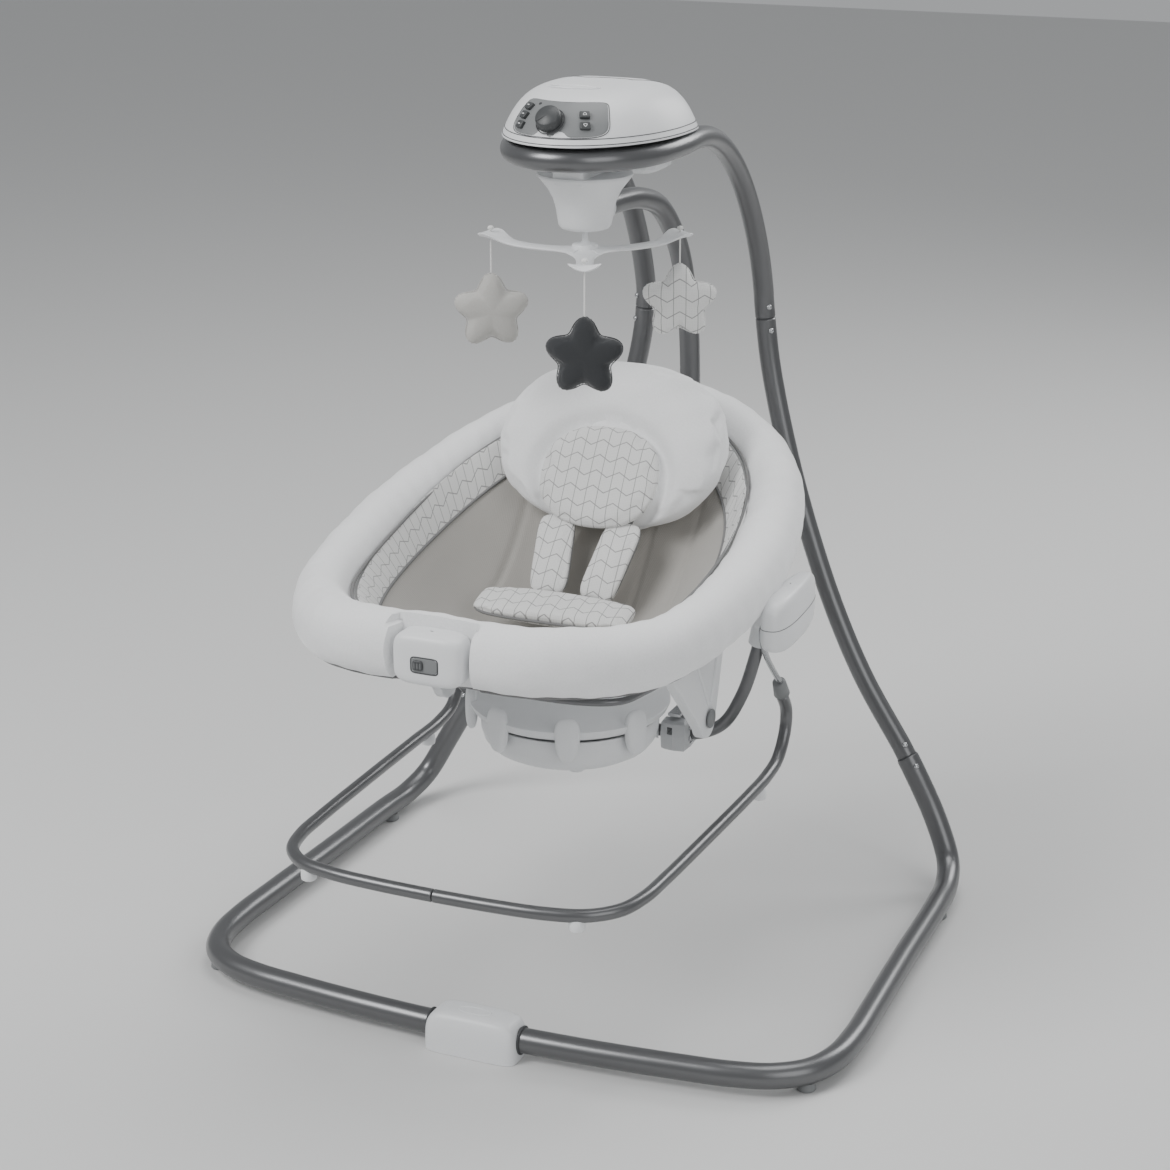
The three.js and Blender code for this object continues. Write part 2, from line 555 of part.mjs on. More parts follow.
/** Centre line of the padded rim: the right half from foot to head, then mirrored. */
const rimHalf = [
  V(98, -312, 438), V(172, -228, 431), V(199, -67, 453), V(176, 84, 490), V(134, 150, 515), V(78, 178, 536),
];
const rimCurve = new THREE.CatmullRomCurve3(
  [V(0, -320, 440), ...rimHalf, V(0, 188, 548), ...mirrorX(rimHalf).reverse()], true, 'centripetal');

/** Padded rim: a closed ring of round section. */
const rimRing = surface((u, v) => {
  const p = rimCurve.getPoint(u);
  const outward = V(p.x, p.y - SEAT_Y, 0).normalize();
  const a = v * 2 * Math.PI;
  return p.addScaledVector(outward, RIM_R * Math.cos(a)).add(V(0, 0, RIM_R * 1.08 * Math.sin(a)));
}, 36, 8);
const POD_ROOM = [84, 60, 64];
add('seat_rim', cut(rimRing, box(...POD_ROOM, 0, -353, 438)), plush);

/** Height of the seat's inner surface along the heading of u, at r from its middle to the rim. */
function seatPoint(u, r) {
  const p = rimCurve.getPoint(u);
  const side = Math.abs(p.x) / 199;
  const head = Math.max(0, p.y - SEAT_Y) / 248;
  const steep = 2.3 + 1.1 * side ** 2 - 0.95 * head ** 1.5;
  return V(p.x * r, SEAT_Y + (p.y - SEAT_Y) * r, SEAT_Z + (p.z - SEAT_Z) * (r / 0.83) ** steep);
}

/** A bowl that follows the seat's inner surface, between two drops below it, out to radius r. */
function seatBowl(topDrop, bottomDrop, r, lift = 0) {
  return surface((u, v) => {
    const under = v <= 0.5;
    const k = THREE.MathUtils.clamp((under ? v : 1 - v) / 0.46, 0, 1);
    const p = seatPoint(u, k * r);
    return p.setZ(p.z - (under ? bottomDrop : topDrop) + (under ? 0 : lift));
  }, 28, 14);
}

add('seat_liner', seatBowl(0, 9, 0.83), linerCloth);

/** Seat shell: the rigid bowl under the liner with a side flap over each recline pin. */
function seatShell() {
  const bowl = seatBowl(12, 18, 0.78);
  const flaps = [1, -1].map((s) => {
    const outline = new THREE.Shape();
    outline.moveTo(-120, 124);
    outline.lineTo(-42, 0);
    outline.absarc(PIN_Y, 0, 21, Math.PI * 1.12, Math.PI * 1.88, false);
    outline.lineTo(24, 124);
    outline.closePath();
    const flap = new THREE.ExtrudeGeometry(outline, { depth: 11, bevelEnabled: false, curveSegments: 6 })
      .rotateY(Math.PI / 2).rotateX(Math.PI / 2);
    return flap.translate(s > 0 ? 139.5 : -150.5, 0, PIN_Z);
  });
  const holes = rod(V(-200, PIN_Y, PIN_Z), V(200, PIN_Y, PIN_Z), 7.8, 14);
  return join(bowl, ...flaps.map((flap) => cut(flap, holes, seatBowl(0, 14, 0.9, 200))));
}
add('seat_shell', seatShell(), whitePlastic);

/** Wire under the rim: a U that runs from beside one hoop end, round the front, to the other. */
const wireHalf = [V(168, -6, 372), V(166, -70, 376), V(164, -150, 382), V(162, -225, 389), V(152, -268, 392),
  V(118, -285, 393)];
add('rim_wire', tube([...wireHalf, V(0, -286, 393), ...mirrorX(wireHalf).reverse()], WIRE_R, 26, 6), greyPaint);

/** A soft pad: a flat pebble leaned back about X and moved to its place. */
const pad = (sizes, lean, x, y, z, turn = 0) =>
  pebble(sizes, 0.55, 0.6, 14, 6).rotateZ(turn).rotateX(lean).translate(x, y, z);

add('head_pillow', pad([125, 92, 20], 1.0, 0, 85, 530), plush);
add('shoulder_pad_left', pad([17, 42, 5], 0.85, -31, 0, 430, 0.15), printCloth);
add('shoulder_pad_right', pad([17, 42, 5], 0.85, 31, 0, 430, -0.15), printCloth);
add('waist_pad', pad([78, 22, 7], 0.25, 0, -70, 398), printCloth);

const POD_Y = -341;
add('vibration_unit', cut(pebble([35, 17, 25], 0.45, 0.5, 14, 8).translate(0, POD_Y, 438),
  box(22.8, 12, 10.8, 0, POD_Y - 17, 435)), whitePlastic);
add('vibration_switch', closed(box(10, 5, 9, -6, POD_Y - 15, 435)), darkPlastic);

export default swing;
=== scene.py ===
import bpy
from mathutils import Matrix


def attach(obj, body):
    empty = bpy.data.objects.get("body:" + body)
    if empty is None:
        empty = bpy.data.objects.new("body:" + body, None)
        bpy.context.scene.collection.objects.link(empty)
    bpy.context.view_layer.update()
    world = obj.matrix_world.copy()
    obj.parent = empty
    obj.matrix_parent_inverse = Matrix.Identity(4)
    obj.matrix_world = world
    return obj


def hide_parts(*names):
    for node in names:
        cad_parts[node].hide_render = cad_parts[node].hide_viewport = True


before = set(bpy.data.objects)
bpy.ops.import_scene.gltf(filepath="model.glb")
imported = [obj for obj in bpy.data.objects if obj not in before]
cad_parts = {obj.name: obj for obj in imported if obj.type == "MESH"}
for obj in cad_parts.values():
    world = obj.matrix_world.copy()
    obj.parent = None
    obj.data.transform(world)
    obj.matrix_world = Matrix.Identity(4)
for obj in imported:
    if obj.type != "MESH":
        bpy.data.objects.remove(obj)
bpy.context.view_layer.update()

import logging
import math
from dataclasses import dataclass
from enum import Enum
from typing import Sequence

import bpy
import numpy as np
from mathutils import Matrix, Vector

LOG = logging.getLogger("baby_swing")
MM = 0.001
Points = Sequence[tuple[float, float, float]]


# ---------------------------------------------------------------- driving dimensions, in millimetres

BASE_R, LEG_R, STAND_R, ROD_R, WIRE_R = 12.7, 11.2, 6.5, 3.0, 3.5
FOOT_H = 6.2
BASE_Z = FOOT_H + BASE_R + 0.3
SIDE_X = 345.0
LOOP_X, LOOP_Z, LOOP_LENGTH = 82.0, 849.0, 125.0
HEAD_Z = LOOP_Z + LEG_R + 1.2
HEAD_X, HEAD_FRONT_Y, HEAD_REAR_Y, HEAD_MID_Y, HEAD_H, HEAD_BULGE = 91.0, -81.0, 120.0, 55.0, 46.0, 5.5
HUB_Y = 9.0
DISH_Y, DISH_R, DISH_TOP_Z = -30.0, 92.0, 275.0
HOOP_Y, HOOP_Z = 22.0, 247.0
STAND_Z, STAND_X, STAND_FRONT_Y = 204.0, 190.0, -349.0
PLUG_Y, PLUG_Z = 86.0, 281.0
RIM_R, SEAT_Y, SEAT_Z = 30.0, -60.0, 358.0
PIN_Y, PIN_Z = -25.0, 288.0
SPIDER_Z, SPIDER_R, SPIDER_TURN = 748.0, 110.0, -1.17
STAR_R, STAR_HALF_T = 39.0, 11.0
POD_Y = -341.0
BAND_START, BAND_END = 0.775, 0.865
SEAM_X = (50.0, 96.0)
PIPING_R = 1.7
SNAP_R = 3.1
TUBE_EDGE = 1.0
HANDLE_HALF = (14.0, 64.0, 29.0)
HANDLE_AT = (237.0, -36.0, 417.0)
CHEVRON_COLUMN, CHEVRON_ROW, CHEVRON_RISE = 12.5, 16.5, 0.42
FRONT = -math.pi / 2


class Side(Enum):
    """The two sides of the swing; the value is the sign of x."""

    RIGHT = 1
    LEFT = -1

    @property
    def word(self) -> str:
        """The side's name as it is used in the names of pieces."""
        return self.name.lower()


# ---------------------------------------------------------------- materials

@dataclass(frozen=True)
class Finish:
    """How one kind of surface looks."""

    slot: str
    color: tuple[float, float, float]
    roughness: float = 0.5
    metallic: float = 0.0
    grain: float = 0.0
    grain_size: float = 900.0
    wear: float = 0.0
    fuzz: float = 0.0
    weave: float = 0.0
    chevron: bool = False
    coat: float = 0.0


GREY_PAINT = Finish("grey_paint", (0.15, 0.152, 0.156), 0.33, 0.75, grain=0.05, grain_size=2600, wear=0.35,
                    coat=0.3)
WHITE_PLASTIC = Finish("white_plastic", (0.79, 0.8, 0.81), 0.38, grain=0.05, grain_size=1500, wear=0.12)
PANEL_GREY = Finish("panel_grey", (0.2, 0.207, 0.21), 0.42, grain=0.08, grain_size=1800, wear=0.15)
DARK_PLASTIC = Finish("dark_plastic", (0.055, 0.058, 0.06), 0.42, grain=0.06, grain_size=1800, wear=0.2)
BRIGHT_STEEL = Finish("bright_steel", (0.5, 0.51, 0.52), 0.26, 1.0, grain=0.05, grain_size=1200)
PLUSH = Finish("plush", (0.86, 0.865, 0.87), 0.95, grain=0.35, grain_size=520, fuzz=0.6)
LINER = Finish("liner_cloth", (0.40, 0.385, 0.36), 0.9, weave=0.35, fuzz=0.25)
PRINT = Finish("print_cloth", (0.74, 0.74, 0.73), 0.88, weave=0.3, chevron=True, fuzz=0.25)
STAR_GREY = Finish("liner_cloth", (0.5, 0.49, 0.465), 0.92, grain=0.3, grain_size=600, fuzz=0.3)
BRACKET = Finish("panel_grey", (0.5, 0.51, 0.52), 0.42, grain=0.06, grain_size=1500, wear=0.12)
CHARCOAL = Finish("charcoal_plush", (0.028, 0.03, 0.033), 0.95, grain=0.4, grain_size=600, fuzz=0.35)
PIPING = Finish("liner_cloth", (0.19, 0.19, 0.19), 0.85, weave=0.3)
BOARD = Finish("board", (0.03, 0.15, 0.07), 0.5)
CELLS = Finish("cells", (0.045, 0.12, 0.24), 0.35)
STRING = Finish("string", (0.85, 0.85, 0.83), 0.85, weave=0.5)
GROOVE = Finish("panel_grey", (0.06, 0.062, 0.065), 0.7)


class Shaders:
    """Builds each finish once, out of shared node groups."""

    def __init__(self) -> None:
        """Makes the shared groups and an empty store of materials."""
        self.store: dict[Finish, bpy.types.Material] = {}
        self.grain = self._grain_group()
        self.weave = self._weave_group()
        self.wear = self._wear_group()
        self.chevron = self._chevron_group()

    @staticmethod
    def _group(name: str, inputs: Sequence[tuple[str, str, float]], outputs: Sequence[tuple[str, str]]):
        """A new shader group with its sockets.

        Args:
            name: the group's name.
            inputs: name, socket type and default of each input.
            outputs: name and socket type of each output.

        Returns:
            The group, its input node and its output node.
        """
        group = bpy.data.node_groups.new(name, "ShaderNodeTree")
        for label, kind, default in inputs:
            socket = group.interface.new_socket(label, in_out="INPUT", socket_type=kind)
            if kind == "NodeSocketFloat":
                socket.default_value = default
        for label, kind in outputs:
            group.interface.new_socket(label, in_out="OUTPUT", socket_type=kind)
        return group, group.nodes.new("NodeGroupInput"), group.nodes.new("NodeGroupOutput")

    def _grain_group(self) -> bpy.types.NodeTree:
        """Fine surface grain: bump from noise in the object's own coordinates."""
        group, given, out = self._group(
            "surface grain",
            [("Scale", "NodeSocketFloat", 1000.0), ("Strength", "NodeSocketFloat", 0.1)],
            [("Normal", "NodeSocketVector"), ("Noise", "NodeSocketFloat")],
        )
        where = group.nodes.new("ShaderNodeTexCoord")
        noise = group.nodes.new("ShaderNodeTexNoise")
        noise.inputs["Detail"].default_value = 4.0
        bump = group.nodes.new("ShaderNodeBump")
        bump.inputs["Distance"].default_value = 0.0006
        link = group.links.new
        link(where.outputs["Object"], noise.inputs["Vector"])
        link(given.outputs["Scale"], noise.inputs["Scale"])
        link(noise.outputs["Fac"], bump.inputs["Height"])
        link(given.outputs["Strength"], bump.inputs["Strength"])
        link(bump.outputs["Normal"], out.inputs["Normal"])
        link(noise.outputs["Fac"], out.inputs["Noise"])
        return group

    def _weave_group(self) -> bpy.types.NodeTree:
        """Knitted cloth: two crossed waves in the cloth's own UV, in metres, as bump."""
        group, given, out = self._group(
            "cloth weave", [("Strength", "NodeSocketFloat", 0.3)],
            [("Normal", "NodeSocketVector"), ("Thread", "NodeSocketFloat")],
        )
        where = group.nodes.new("ShaderNodeUVMap")
        waves = []
        for direction in ("X", "Y"):
            wave = group.nodes.new("ShaderNodeTexWave")
            wave.bands_direction = direction
            wave.inputs["Scale"].default_value = 190.0
            wave.inputs["Distortion"].default_value = 0.6
            group.links.new(where.outputs["UV"], wave.inputs["Vector"])
            waves.append(wave)
        mix = group.nodes.new("ShaderNodeMath")
        mix.operation = "MAXIMUM"
        bump = group.nodes.new("ShaderNodeBump")
        bump.inputs["Distance"].default_value = 0.0004
        link = group.links.new
        link(waves[0].outputs["Fac"], mix.inputs[0])
        link(waves[1].outputs["Fac"], mix.inputs[1])
        link(mix.outputs[0], bump.inputs["Height"])
        link(given.outputs["Strength"], bump.inputs["Strength"])
        link(bump.outputs["Normal"], out.inputs["Normal"])
        link(mix.outputs[0], out.inputs["Thread"])
        return group

    def _wear_group(self) -> bpy.types.NodeTree:
        """Edge wear: 1 where a rounded normal turns away from the true one."""
        group, given, out = self._group(
            "edge wear", [("Amount", "NodeSocketFloat", 0.2)], [("Wear", "NodeSocketFloat")]
        )
        bevel = group.nodes.new("ShaderNodeBevel")
        bevel.samples = 4
        bevel.inputs["Radius"].default_value = 0.0012
        true = group.nodes.new("ShaderNodeNewGeometry")
        dot = group.nodes.new("ShaderNodeVectorMath")
        dot.operation = "DOT_PRODUCT"
        edge = group.nodes.new("ShaderNodeMapRange")
        edge.inputs["From Min"].default_value = 0.995
        edge.inputs["From Max"].default_value = 0.9
        scale = group.nodes.new("ShaderNodeMath")
        scale.operation = "MULTIPLY"
        link = group.links.new
        link(bevel.outputs["Normal"], dot.inputs[0])
        link(true.outputs["Normal"], dot.inputs[1])
        link(dot.outputs["Value"], edge.inputs["Value"])
        link(edge.outputs["Result"], scale.inputs[0])
        link(given.outputs["Amount"], scale.inputs[1])
        link(scale.outputs[0], out.inputs["Wear"])
        return group

    def _chevron_group(self) -> bpy.types.NodeTree:
        """Printed chevrons: thin lines where v plus a zigzag of u passes each repeat, with upright lines
        between the columns. UV is in metres."""
        group, _, out = self._group("chevron print", [], [("Line", "NodeSocketFloat")])
        link = group.links.new

        def math_node(kind: str, a, b=None):
            """One math node whose inputs are sockets or numbers."""
            node = group.nodes.new("ShaderNodeMath")
            node.operation = kind
            for index, value in enumerate((a, b)):
                if value is None:
                    continue
                if isinstance(value, (int, float)):
                    node.inputs[index].default_value = value
                else:
                    link(value, node.inputs[index])
            return node.outputs[0]

        where = group.nodes.new("ShaderNodeUVMap")
        split = group.nodes.new("ShaderNodeSeparateXYZ")
        link(where.outputs["UV"], split.inputs[0])
        column = math_node("MULTIPLY", split.outputs["X"], 1 / (CHEVRON_COLUMN * MM))
        zigzag = math_node("PINGPONG", column, 1.0)
        straight = math_node("MULTIPLY", split.outputs["Y"], 1 / (CHEVRON_ROW * MM))
        row = math_node("ADD", straight, math_node("MULTIPLY", zigzag, CHEVRON_RISE))
        slant = math_node("COMPARE", math_node("FRACT", row), 0.5)
        group.nodes[-1].inputs[2].default_value = 0.035
        upright = math_node("COMPARE", math_node("FRACT", column), 0.5)
        group.nodes[-1].inputs[2].default_value = 0.03
        link(math_node("MAXIMUM", slant, upright), out.inputs["Line"])
        return group

    def __call__(self, finish: Finish) -> bpy.types.Material:
        """The material of a finish.

        Args:
            finish: what the surface looks like.

        Returns:
            The material, made on first use.
        """
        if finish in self.store:
            return self.store[finish]
        material = bpy.data.materials.new(f"{finish.slot}_{len(self.store)}")
        material.use_nodes = True
        tree = material.node_tree
        link = tree.links.new
        shader = tree.nodes["Principled BSDF"]
        shader.inputs["Base Color"].default_value = (*finish.color, 1.0)
        shader.inputs["Roughness"].default_value = finish.roughness
        shader.inputs["Metallic"].default_value = finish.metallic
        shader.inputs["Coat Weight"].default_value = finish.coat
        shader.inputs["Coat Roughness"].default_value = 0.2
        if finish.fuzz:
            shader.inputs["Sheen Weight"].default_value = finish.fuzz
            shader.inputs["Sheen Roughness"].default_value = 0.5
        tone = None
        if finish.grain:
            node = tree.nodes.new("ShaderNodeGroup")
            node.node_tree = self.grain
            node.inputs["Scale"].default_value = finish.grain_size
            node.inputs["Strength"].default_value = finish.grain
            link(node.outputs["Normal"], shader.inputs["Normal"])
            tone = node.outputs["Noise"]
        if finish.weave:
            node = tree.nodes.new("ShaderNodeGroup")
            node.node_tree = self.weave
            node.inputs["Strength"].default_value = finish.weave
            link(node.outputs["Normal"], shader.inputs["Normal"])
            tone = node.outputs["Thread"]
        color = None
        if tone is not None:
            spread = tree.nodes.new("ShaderNodeMapRange")
            spread.inputs["To Min"].default_value = 0.9
            spread.inputs["To Max"].default_value = 1.04
            scale = tree.nodes.new("ShaderNodeVectorMath")
            scale.operation = "SCALE"
            scale.inputs[0].default_value = finish.color
            link(tone, spread.inputs["Value"])
            link(spread.outputs["Result"], scale.inputs["Scale"])
            color = scale.outputs["Vector"]
        for active, source, target in (
            (finish.chevron, self.chevron, tuple(c * 0.42 for c in finish.color)),
            (finish.wear, self.wear, tuple(min(1.0, c * 1.25 + 0.06) for c in finish.color)),
        ):
            if not active:
                continue
            node = tree.nodes.new("ShaderNodeGroup")
            node.node_tree = source
            if source is self.wear:
                node.inputs["Amount"].default_value = finish.wear
            mix = tree.nodes.new("ShaderNodeMix")
            mix.data_type = "RGBA"
            link(node.outputs[0], mix.inputs["Factor"])
            if color is None:
                mix.inputs["A"].default_value = (*finish.color, 1.0)
            else:
                link(color, mix.inputs["A"])
            mix.inputs["B"].default_value = (*target, 1.0)
            color = mix.outputs["Result"]
        if color is not None:
            link(color, shader.inputs["Base Color"])
        self.store[finish] = material
        return material


SHADE = Shaders()


# ---------------------------------------------------------------- geometry helpers

def power(value: np.ndarray, exponent: float) -> np.ndarray:
    """The value's sign times its size to a power, which squares up a sine or cosine."""
    return np.sign(value) * np.abs(value) ** exponent


def mirrored(points: Points, side: Side) -> np.ndarray:
    """The points with x turned to the given side."""
    return np.asarray(points, float) * np.array([side.value, 1.0, 1.0])


def curve(points: Points, count: int, closed: bool = False) -> np.ndarray:
    """Evenly spaced points on a centripetal Catmull-Rom curve.

    Each span is a cubic through its two ends whose end slopes come from the neighbours, with knot gaps equal
    to the square root of the distance between points. The result is then resampled by arc length.

    Args:
        points: the control points.
        count: how many points to return.
        closed: whether the curve meets its own start.

    Returns:
        An array of count points.
    """
    p = np.asarray(points, float)
    if closed:
        p = np.vstack([p[-1], p, p[0], p[1]])
    else:
        p = np.vstack([2 * p[0] - p[1], p, 2 * p[-1] - p[-2]])
    s = np.linspace(0, 1, 40, endpoint=False)[:, None]
    spans = []
    for a, b, c, d in zip(p, p[1:], p[2:], p[3:]):
        gaps = [max(np.linalg.norm(v - u), 1e-9) ** 0.5 for u, v in ((a, b), (b, c), (c, d))]
        slope_b = ((b - a) / gaps[0] - (c - a) / (gaps[0] + gaps[1]) + (c - b) / gaps[1]) * gaps[1]
        slope_c = ((c - b) / gaps[1] - (d - b) / (gaps[1] + gaps[2]) + (d - c) / gaps[2]) * gaps[1]
        k2 = -3 * b + 3 * c - 2 * slope_b - slope_c
        k3 = 2 * b - 2 * c + slope_b + slope_c
        spans.append(b + slope_b * s + k2 * s**2 + k3 * s**3)
    dense = np.vstack([*spans, p[-2][None]])
    run = np.concatenate([[0.0], np.cumsum(np.linalg.norm(np.diff(dense, axis=0), axis=1))])
    at = np.linspace(0, run[-1], count, endpoint=not closed)
    return np.stack([np.interp(at, run, dense[:, i]) for i in range(3)], axis=1)


def frames(path: np.ndarray, closed: bool = False) -> tuple[np.ndarray, np.ndarray, np.ndarray]:
    """Tangent and two cross directions along a path, turned as little as possible.

    Args:
        path: the points of the path.
        closed: whether it meets its own start.

    Returns:
        Tangents, normals and binormals, one row per point.
    """
    if closed:
        tangent = np.roll(path, -1, axis=0) - np.roll(path, 1, axis=0)
    else:
        tangent = np.gradient(path, axis=0)
    tangent /= np.linalg.norm(tangent, axis=1, keepdims=True)
    normal = np.zeros_like(path)
    seed = np.eye(3)[np.argmin(np.abs(tangent[0]))]
    for i, t in enumerate(tangent):
        seed = seed - t * (seed @ t)
        seed /= np.linalg.norm(seed)
        normal[i] = seed
    return tangent, normal, np.cross(tangent, normal)


def lay_uv(mesh: bpy.types.Mesh, flat: np.ndarray) -> None:
    """Sets the mesh's UV from one pair for each corner point, in metres."""
    loop_verts = np.empty(len(mesh.loops), dtype=np.int32)
    mesh.loops.foreach_get("vertex_index", loop_verts)
    mesh.uv_layers[0].data.foreach_set("uv", flat[loop_verts].astype(np.float32).ravel())


def new_object(name: str, verts: np.ndarray, faces: np.ndarray, uv: np.ndarray, finish: Finish,
               smooth_angle: float = 40.0) -> bpy.types.Object:
    """A mesh object from arrays of corners, faces and one UV per corner, given in millimetres.

    Args:
        name: the piece's name.
        verts: corner positions.
        faces: four corner numbers per face; a triangle gives its last corner twice.
        uv: one pair per corner, in metres.
        finish: what it looks like.
        smooth_angle: edges sharper than this many degrees stay sharp.

    Returns:
        The object, linked to the scene.
    """
    mesh = bpy.data.meshes.new(name)
    keep = np.ones(faces.shape, dtype=bool)
    keep[:, 3] = faces[:, 3] != faces[:, 2]
    counts = keep.sum(axis=1)
    mesh.vertices.add(len(verts))
    mesh.vertices.foreach_set("co", (verts * MM).astype(np.float32).ravel())
    mesh.loops.add(int(counts.sum()))
    mesh.loops.foreach_set("vertex_index", faces[keep].astype(np.int32))
    mesh.polygons.add(len(faces))
    mesh.polygons.foreach_set("loop_start", (np.cumsum(counts) - counts).astype(np.int32))
    mesh.update(calc_edges=True)
    mesh.validate()
    mesh.uv_layers.new(name="UVMap")
    lay_uv(mesh, uv)
    mesh.shade_smooth()
    mesh.set_sharp_from_angle(angle=math.radians(smooth_angle))
    mesh.materials.append(SHADE(finish))
    made = bpy.data.objects.new(name, mesh)
    bpy.context.scene.collection.objects.link(made)
    return made


def grid_object(name: str, grid: np.ndarray, finish: Finish, wrap: tuple[bool, bool] = (True, False),
                caps: bool = False, smooth_angle: float = 40.0) -> bpy.types.Object:
    """An object from a grid of points.

    UV runs along the grid: u is the mean length along the first axis and v along the second, in metres.

    Args:
        name: the piece's name.
        grid: points as an array of nu by nv by 3.
        finish: what it looks like.
        wrap: whether each axis meets its own start.
        caps: whether to close both ends of the second axis with fans.
        smooth_angle: edges sharper than this stay sharp.

    Returns:
        The object.
    """
    nu, nv = grid.shape[:2]
    ids = np.arange(nu * nv).reshape(nu, nv)
    ring = np.vstack([ids, ids[:1]]) if wrap[0] else ids
    ring = np.hstack([ring, ring[:, :1]]) if wrap[1] else ring
    faces = np.stack([ring[:-1, :-1], ring[1:, :-1], ring[1:, 1:], ring[:-1, 1:]], axis=-1).reshape(-1, 4)
    step_u = np.linalg.norm(np.diff(grid, axis=0), axis=-1).mean(axis=1)
    step_v = np.linalg.norm(np.diff(grid, axis=1), axis=-1).mean(axis=0)
    u = np.concatenate([[0.0], np.cumsum(step_u)]) * MM
    v = np.concatenate([[0.0], np.cumsum(step_v)]) * MM
    uv = np.stack(np.meshgrid(u, v, indexing="ij"), axis=-1).reshape(-1, 2)
    verts = grid.reshape(-1, 3)
    if caps:
        middles = np.stack([grid[:, 0].mean(axis=0), grid[:, -1].mean(axis=0)])
        low, high = len(verts), len(verts) + 1
        verts = np.vstack([verts, middles])
        uv = np.vstack([uv, uv[:1], uv[-1:]])
        first, last = ring[:, 0], ring[:, -1]
        fan_low = np.stack([first[1:], first[:-1], np.full(len(first) - 1, low)], axis=-1)
        fan_high = np.stack([last[:-1], last[1:], np.full(len(last) - 1, high)], axis=-1)
        fans = np.vstack([fan_low, fan_high])
        faces = np.vstack([faces, np.hstack([fans, fans[:, 2:]])])
    return new_object(name, verts, faces, uv, finish, smooth_angle)


def tube(name: str, points: Points, radius: float, finish: Finish, count: int = 160, sides: int = 24,
         closed: bool = False) -> bpy.types.Object:
    """A round tube along a smooth curve, with lightly rounded ends.

    Args:
        name: the piece's name.
        points: control points of its centre line.
        radius: its radius.
        finish: what it looks like.
        count: rings along it.
        sides: corners round it.
        closed: whether it meets its own start.

    Returns:
        The object.
    """
    path = curve(points, count, closed)
    tangent, normal, binormal = frames(path, closed)
    radii = np.full(count, radius)
    if not closed:
        first, last = path[:1] + tangent[:1] * TUBE_EDGE, path[-1:] - tangent[-1:] * TUBE_EDGE
        path = np.vstack([path[:1], first, path[1:-1], last, path[-1:]])
        normal = np.vstack([normal[:1], normal, normal[-1:]])
        binormal = np.vstack([binormal[:1], binormal, binormal[-1:]])
        radii = np.full(len(path), radius)
        radii[[0, -1]] = radius - TUBE_EDGE
    angle = np.linspace(0, 2 * math.pi, sides, endpoint=False)[:, None, None]
    grid = path + radii[:, None] * (np.cos(angle) * normal + np.sin(angle) * binormal)
    return grid_object(name, grid, finish, (True, closed), caps=not closed)


def pebble_grid(half: tuple[float, float, float], plan: float, side: float, nu: int = 64,
                nv: int = 32) -> np.ndarray:
    """Points of a rounded box or pillow, a superellipsoid: x, y and z are powers of the cosine and sine of
    the heading and of the height angle, times the half sizes."""
    t = np.linspace(0, 2 * math.pi, nu, endpoint=False)[:, None]
    s = np.linspace(-math.pi / 2 + 0.001, math.pi / 2 - 0.001, nv)[None]
    ring = power(np.cos(s), side)
    return np.stack([half[0] * ring * power(np.cos(t), plan), half[1] * ring * power(np.sin(t), plan),
                     half[2] * power(np.sin(s), side) * np.ones_like(t)], axis=-1)


def turned(grid: np.ndarray, lean: float = 0.0, spin: float = 0.0, heading: float = 0.0) -> np.ndarray:
    """Points spun about Z, leant about X and then turned about Z, all in radians."""
    turn = Matrix.Rotation(heading, 3, "Z") @ Matrix.Rotation(lean, 3, "X") @ Matrix.Rotation(spin, 3, "Z")
    return grid @ np.array(turn).T


def flat_uv(piece: bpy.types.Object, lean: float) -> None:
    """Lays the piece's UV flat, in metres, as seen square on to a plane leant about X."""
    mesh = piece.data
    points = np.empty(len(mesh.vertices) * 3, dtype=np.float32)
    mesh.vertices.foreach_get("co", points)
    lay_uv(mesh, turned(points.reshape(-1, 3), -lean)[:, :2])


def turn_about(profile: np.ndarray, t: np.ndarray, centre: tuple[float, float] = (0.0, 0.0),
               swell: np.ndarray | float = 1.0) -> np.ndarray:
    """Points of (radius, height) pairs turned about an upright axis; swell scales the radii."""
    radius = profile[:, 0] * swell
    return np.stack([centre[0] + radius * np.cos(t), centre[1] + radius * np.sin(t),
                     profile[:, 1] * np.ones_like(t)], axis=-1)


def lathe(name: str, profile: Sequence[tuple[float, float]], finish: Finish, centre: tuple[float, float],
          sides: int = 96, smooth_angle: float = 40.0) -> bpy.types.Object:
    """A turned piece about an upright axis, from (radius, height) pairs."""
    t = np.linspace(0, 2 * math.pi, sides, endpoint=False)[:, None]
    grid = turn_about(np.asarray(profile, float), t, centre)
    return grid_object(name, grid, finish, smooth_angle=smooth_angle)


def rod(name: str, start: Sequence[float], end: Sequence[float], radius: float, finish: Finish,
        edge: float = 0.8, sides: int = 40, end_radius: float | None = None) -> bpy.types.Object:
    """A straight round bar with small rounded edges between two points."""
    a, b = np.asarray(start, float), np.asarray(end, float)
    along = (b - a) / np.linalg.norm(b - a)
    side = np.cross(along, np.eye(3)[np.argmin(np.abs(along))])
    side /= np.linalg.norm(side)
    up = np.cross(along, side)
    last = radius if end_radius is None else end_radius
    rings = [(a, radius - edge), (a + along * edge, radius), (b - along * edge, last), (b, last - edge)]
    t = np.linspace(0, 2 * math.pi, sides, endpoint=False)[:, None]
    grid = np.stack([c + r * (np.cos(t) * side + np.sin(t) * up) for c, r in rings], axis=1)
    return grid_object(name, grid, finish, caps=True, smooth_angle=50)


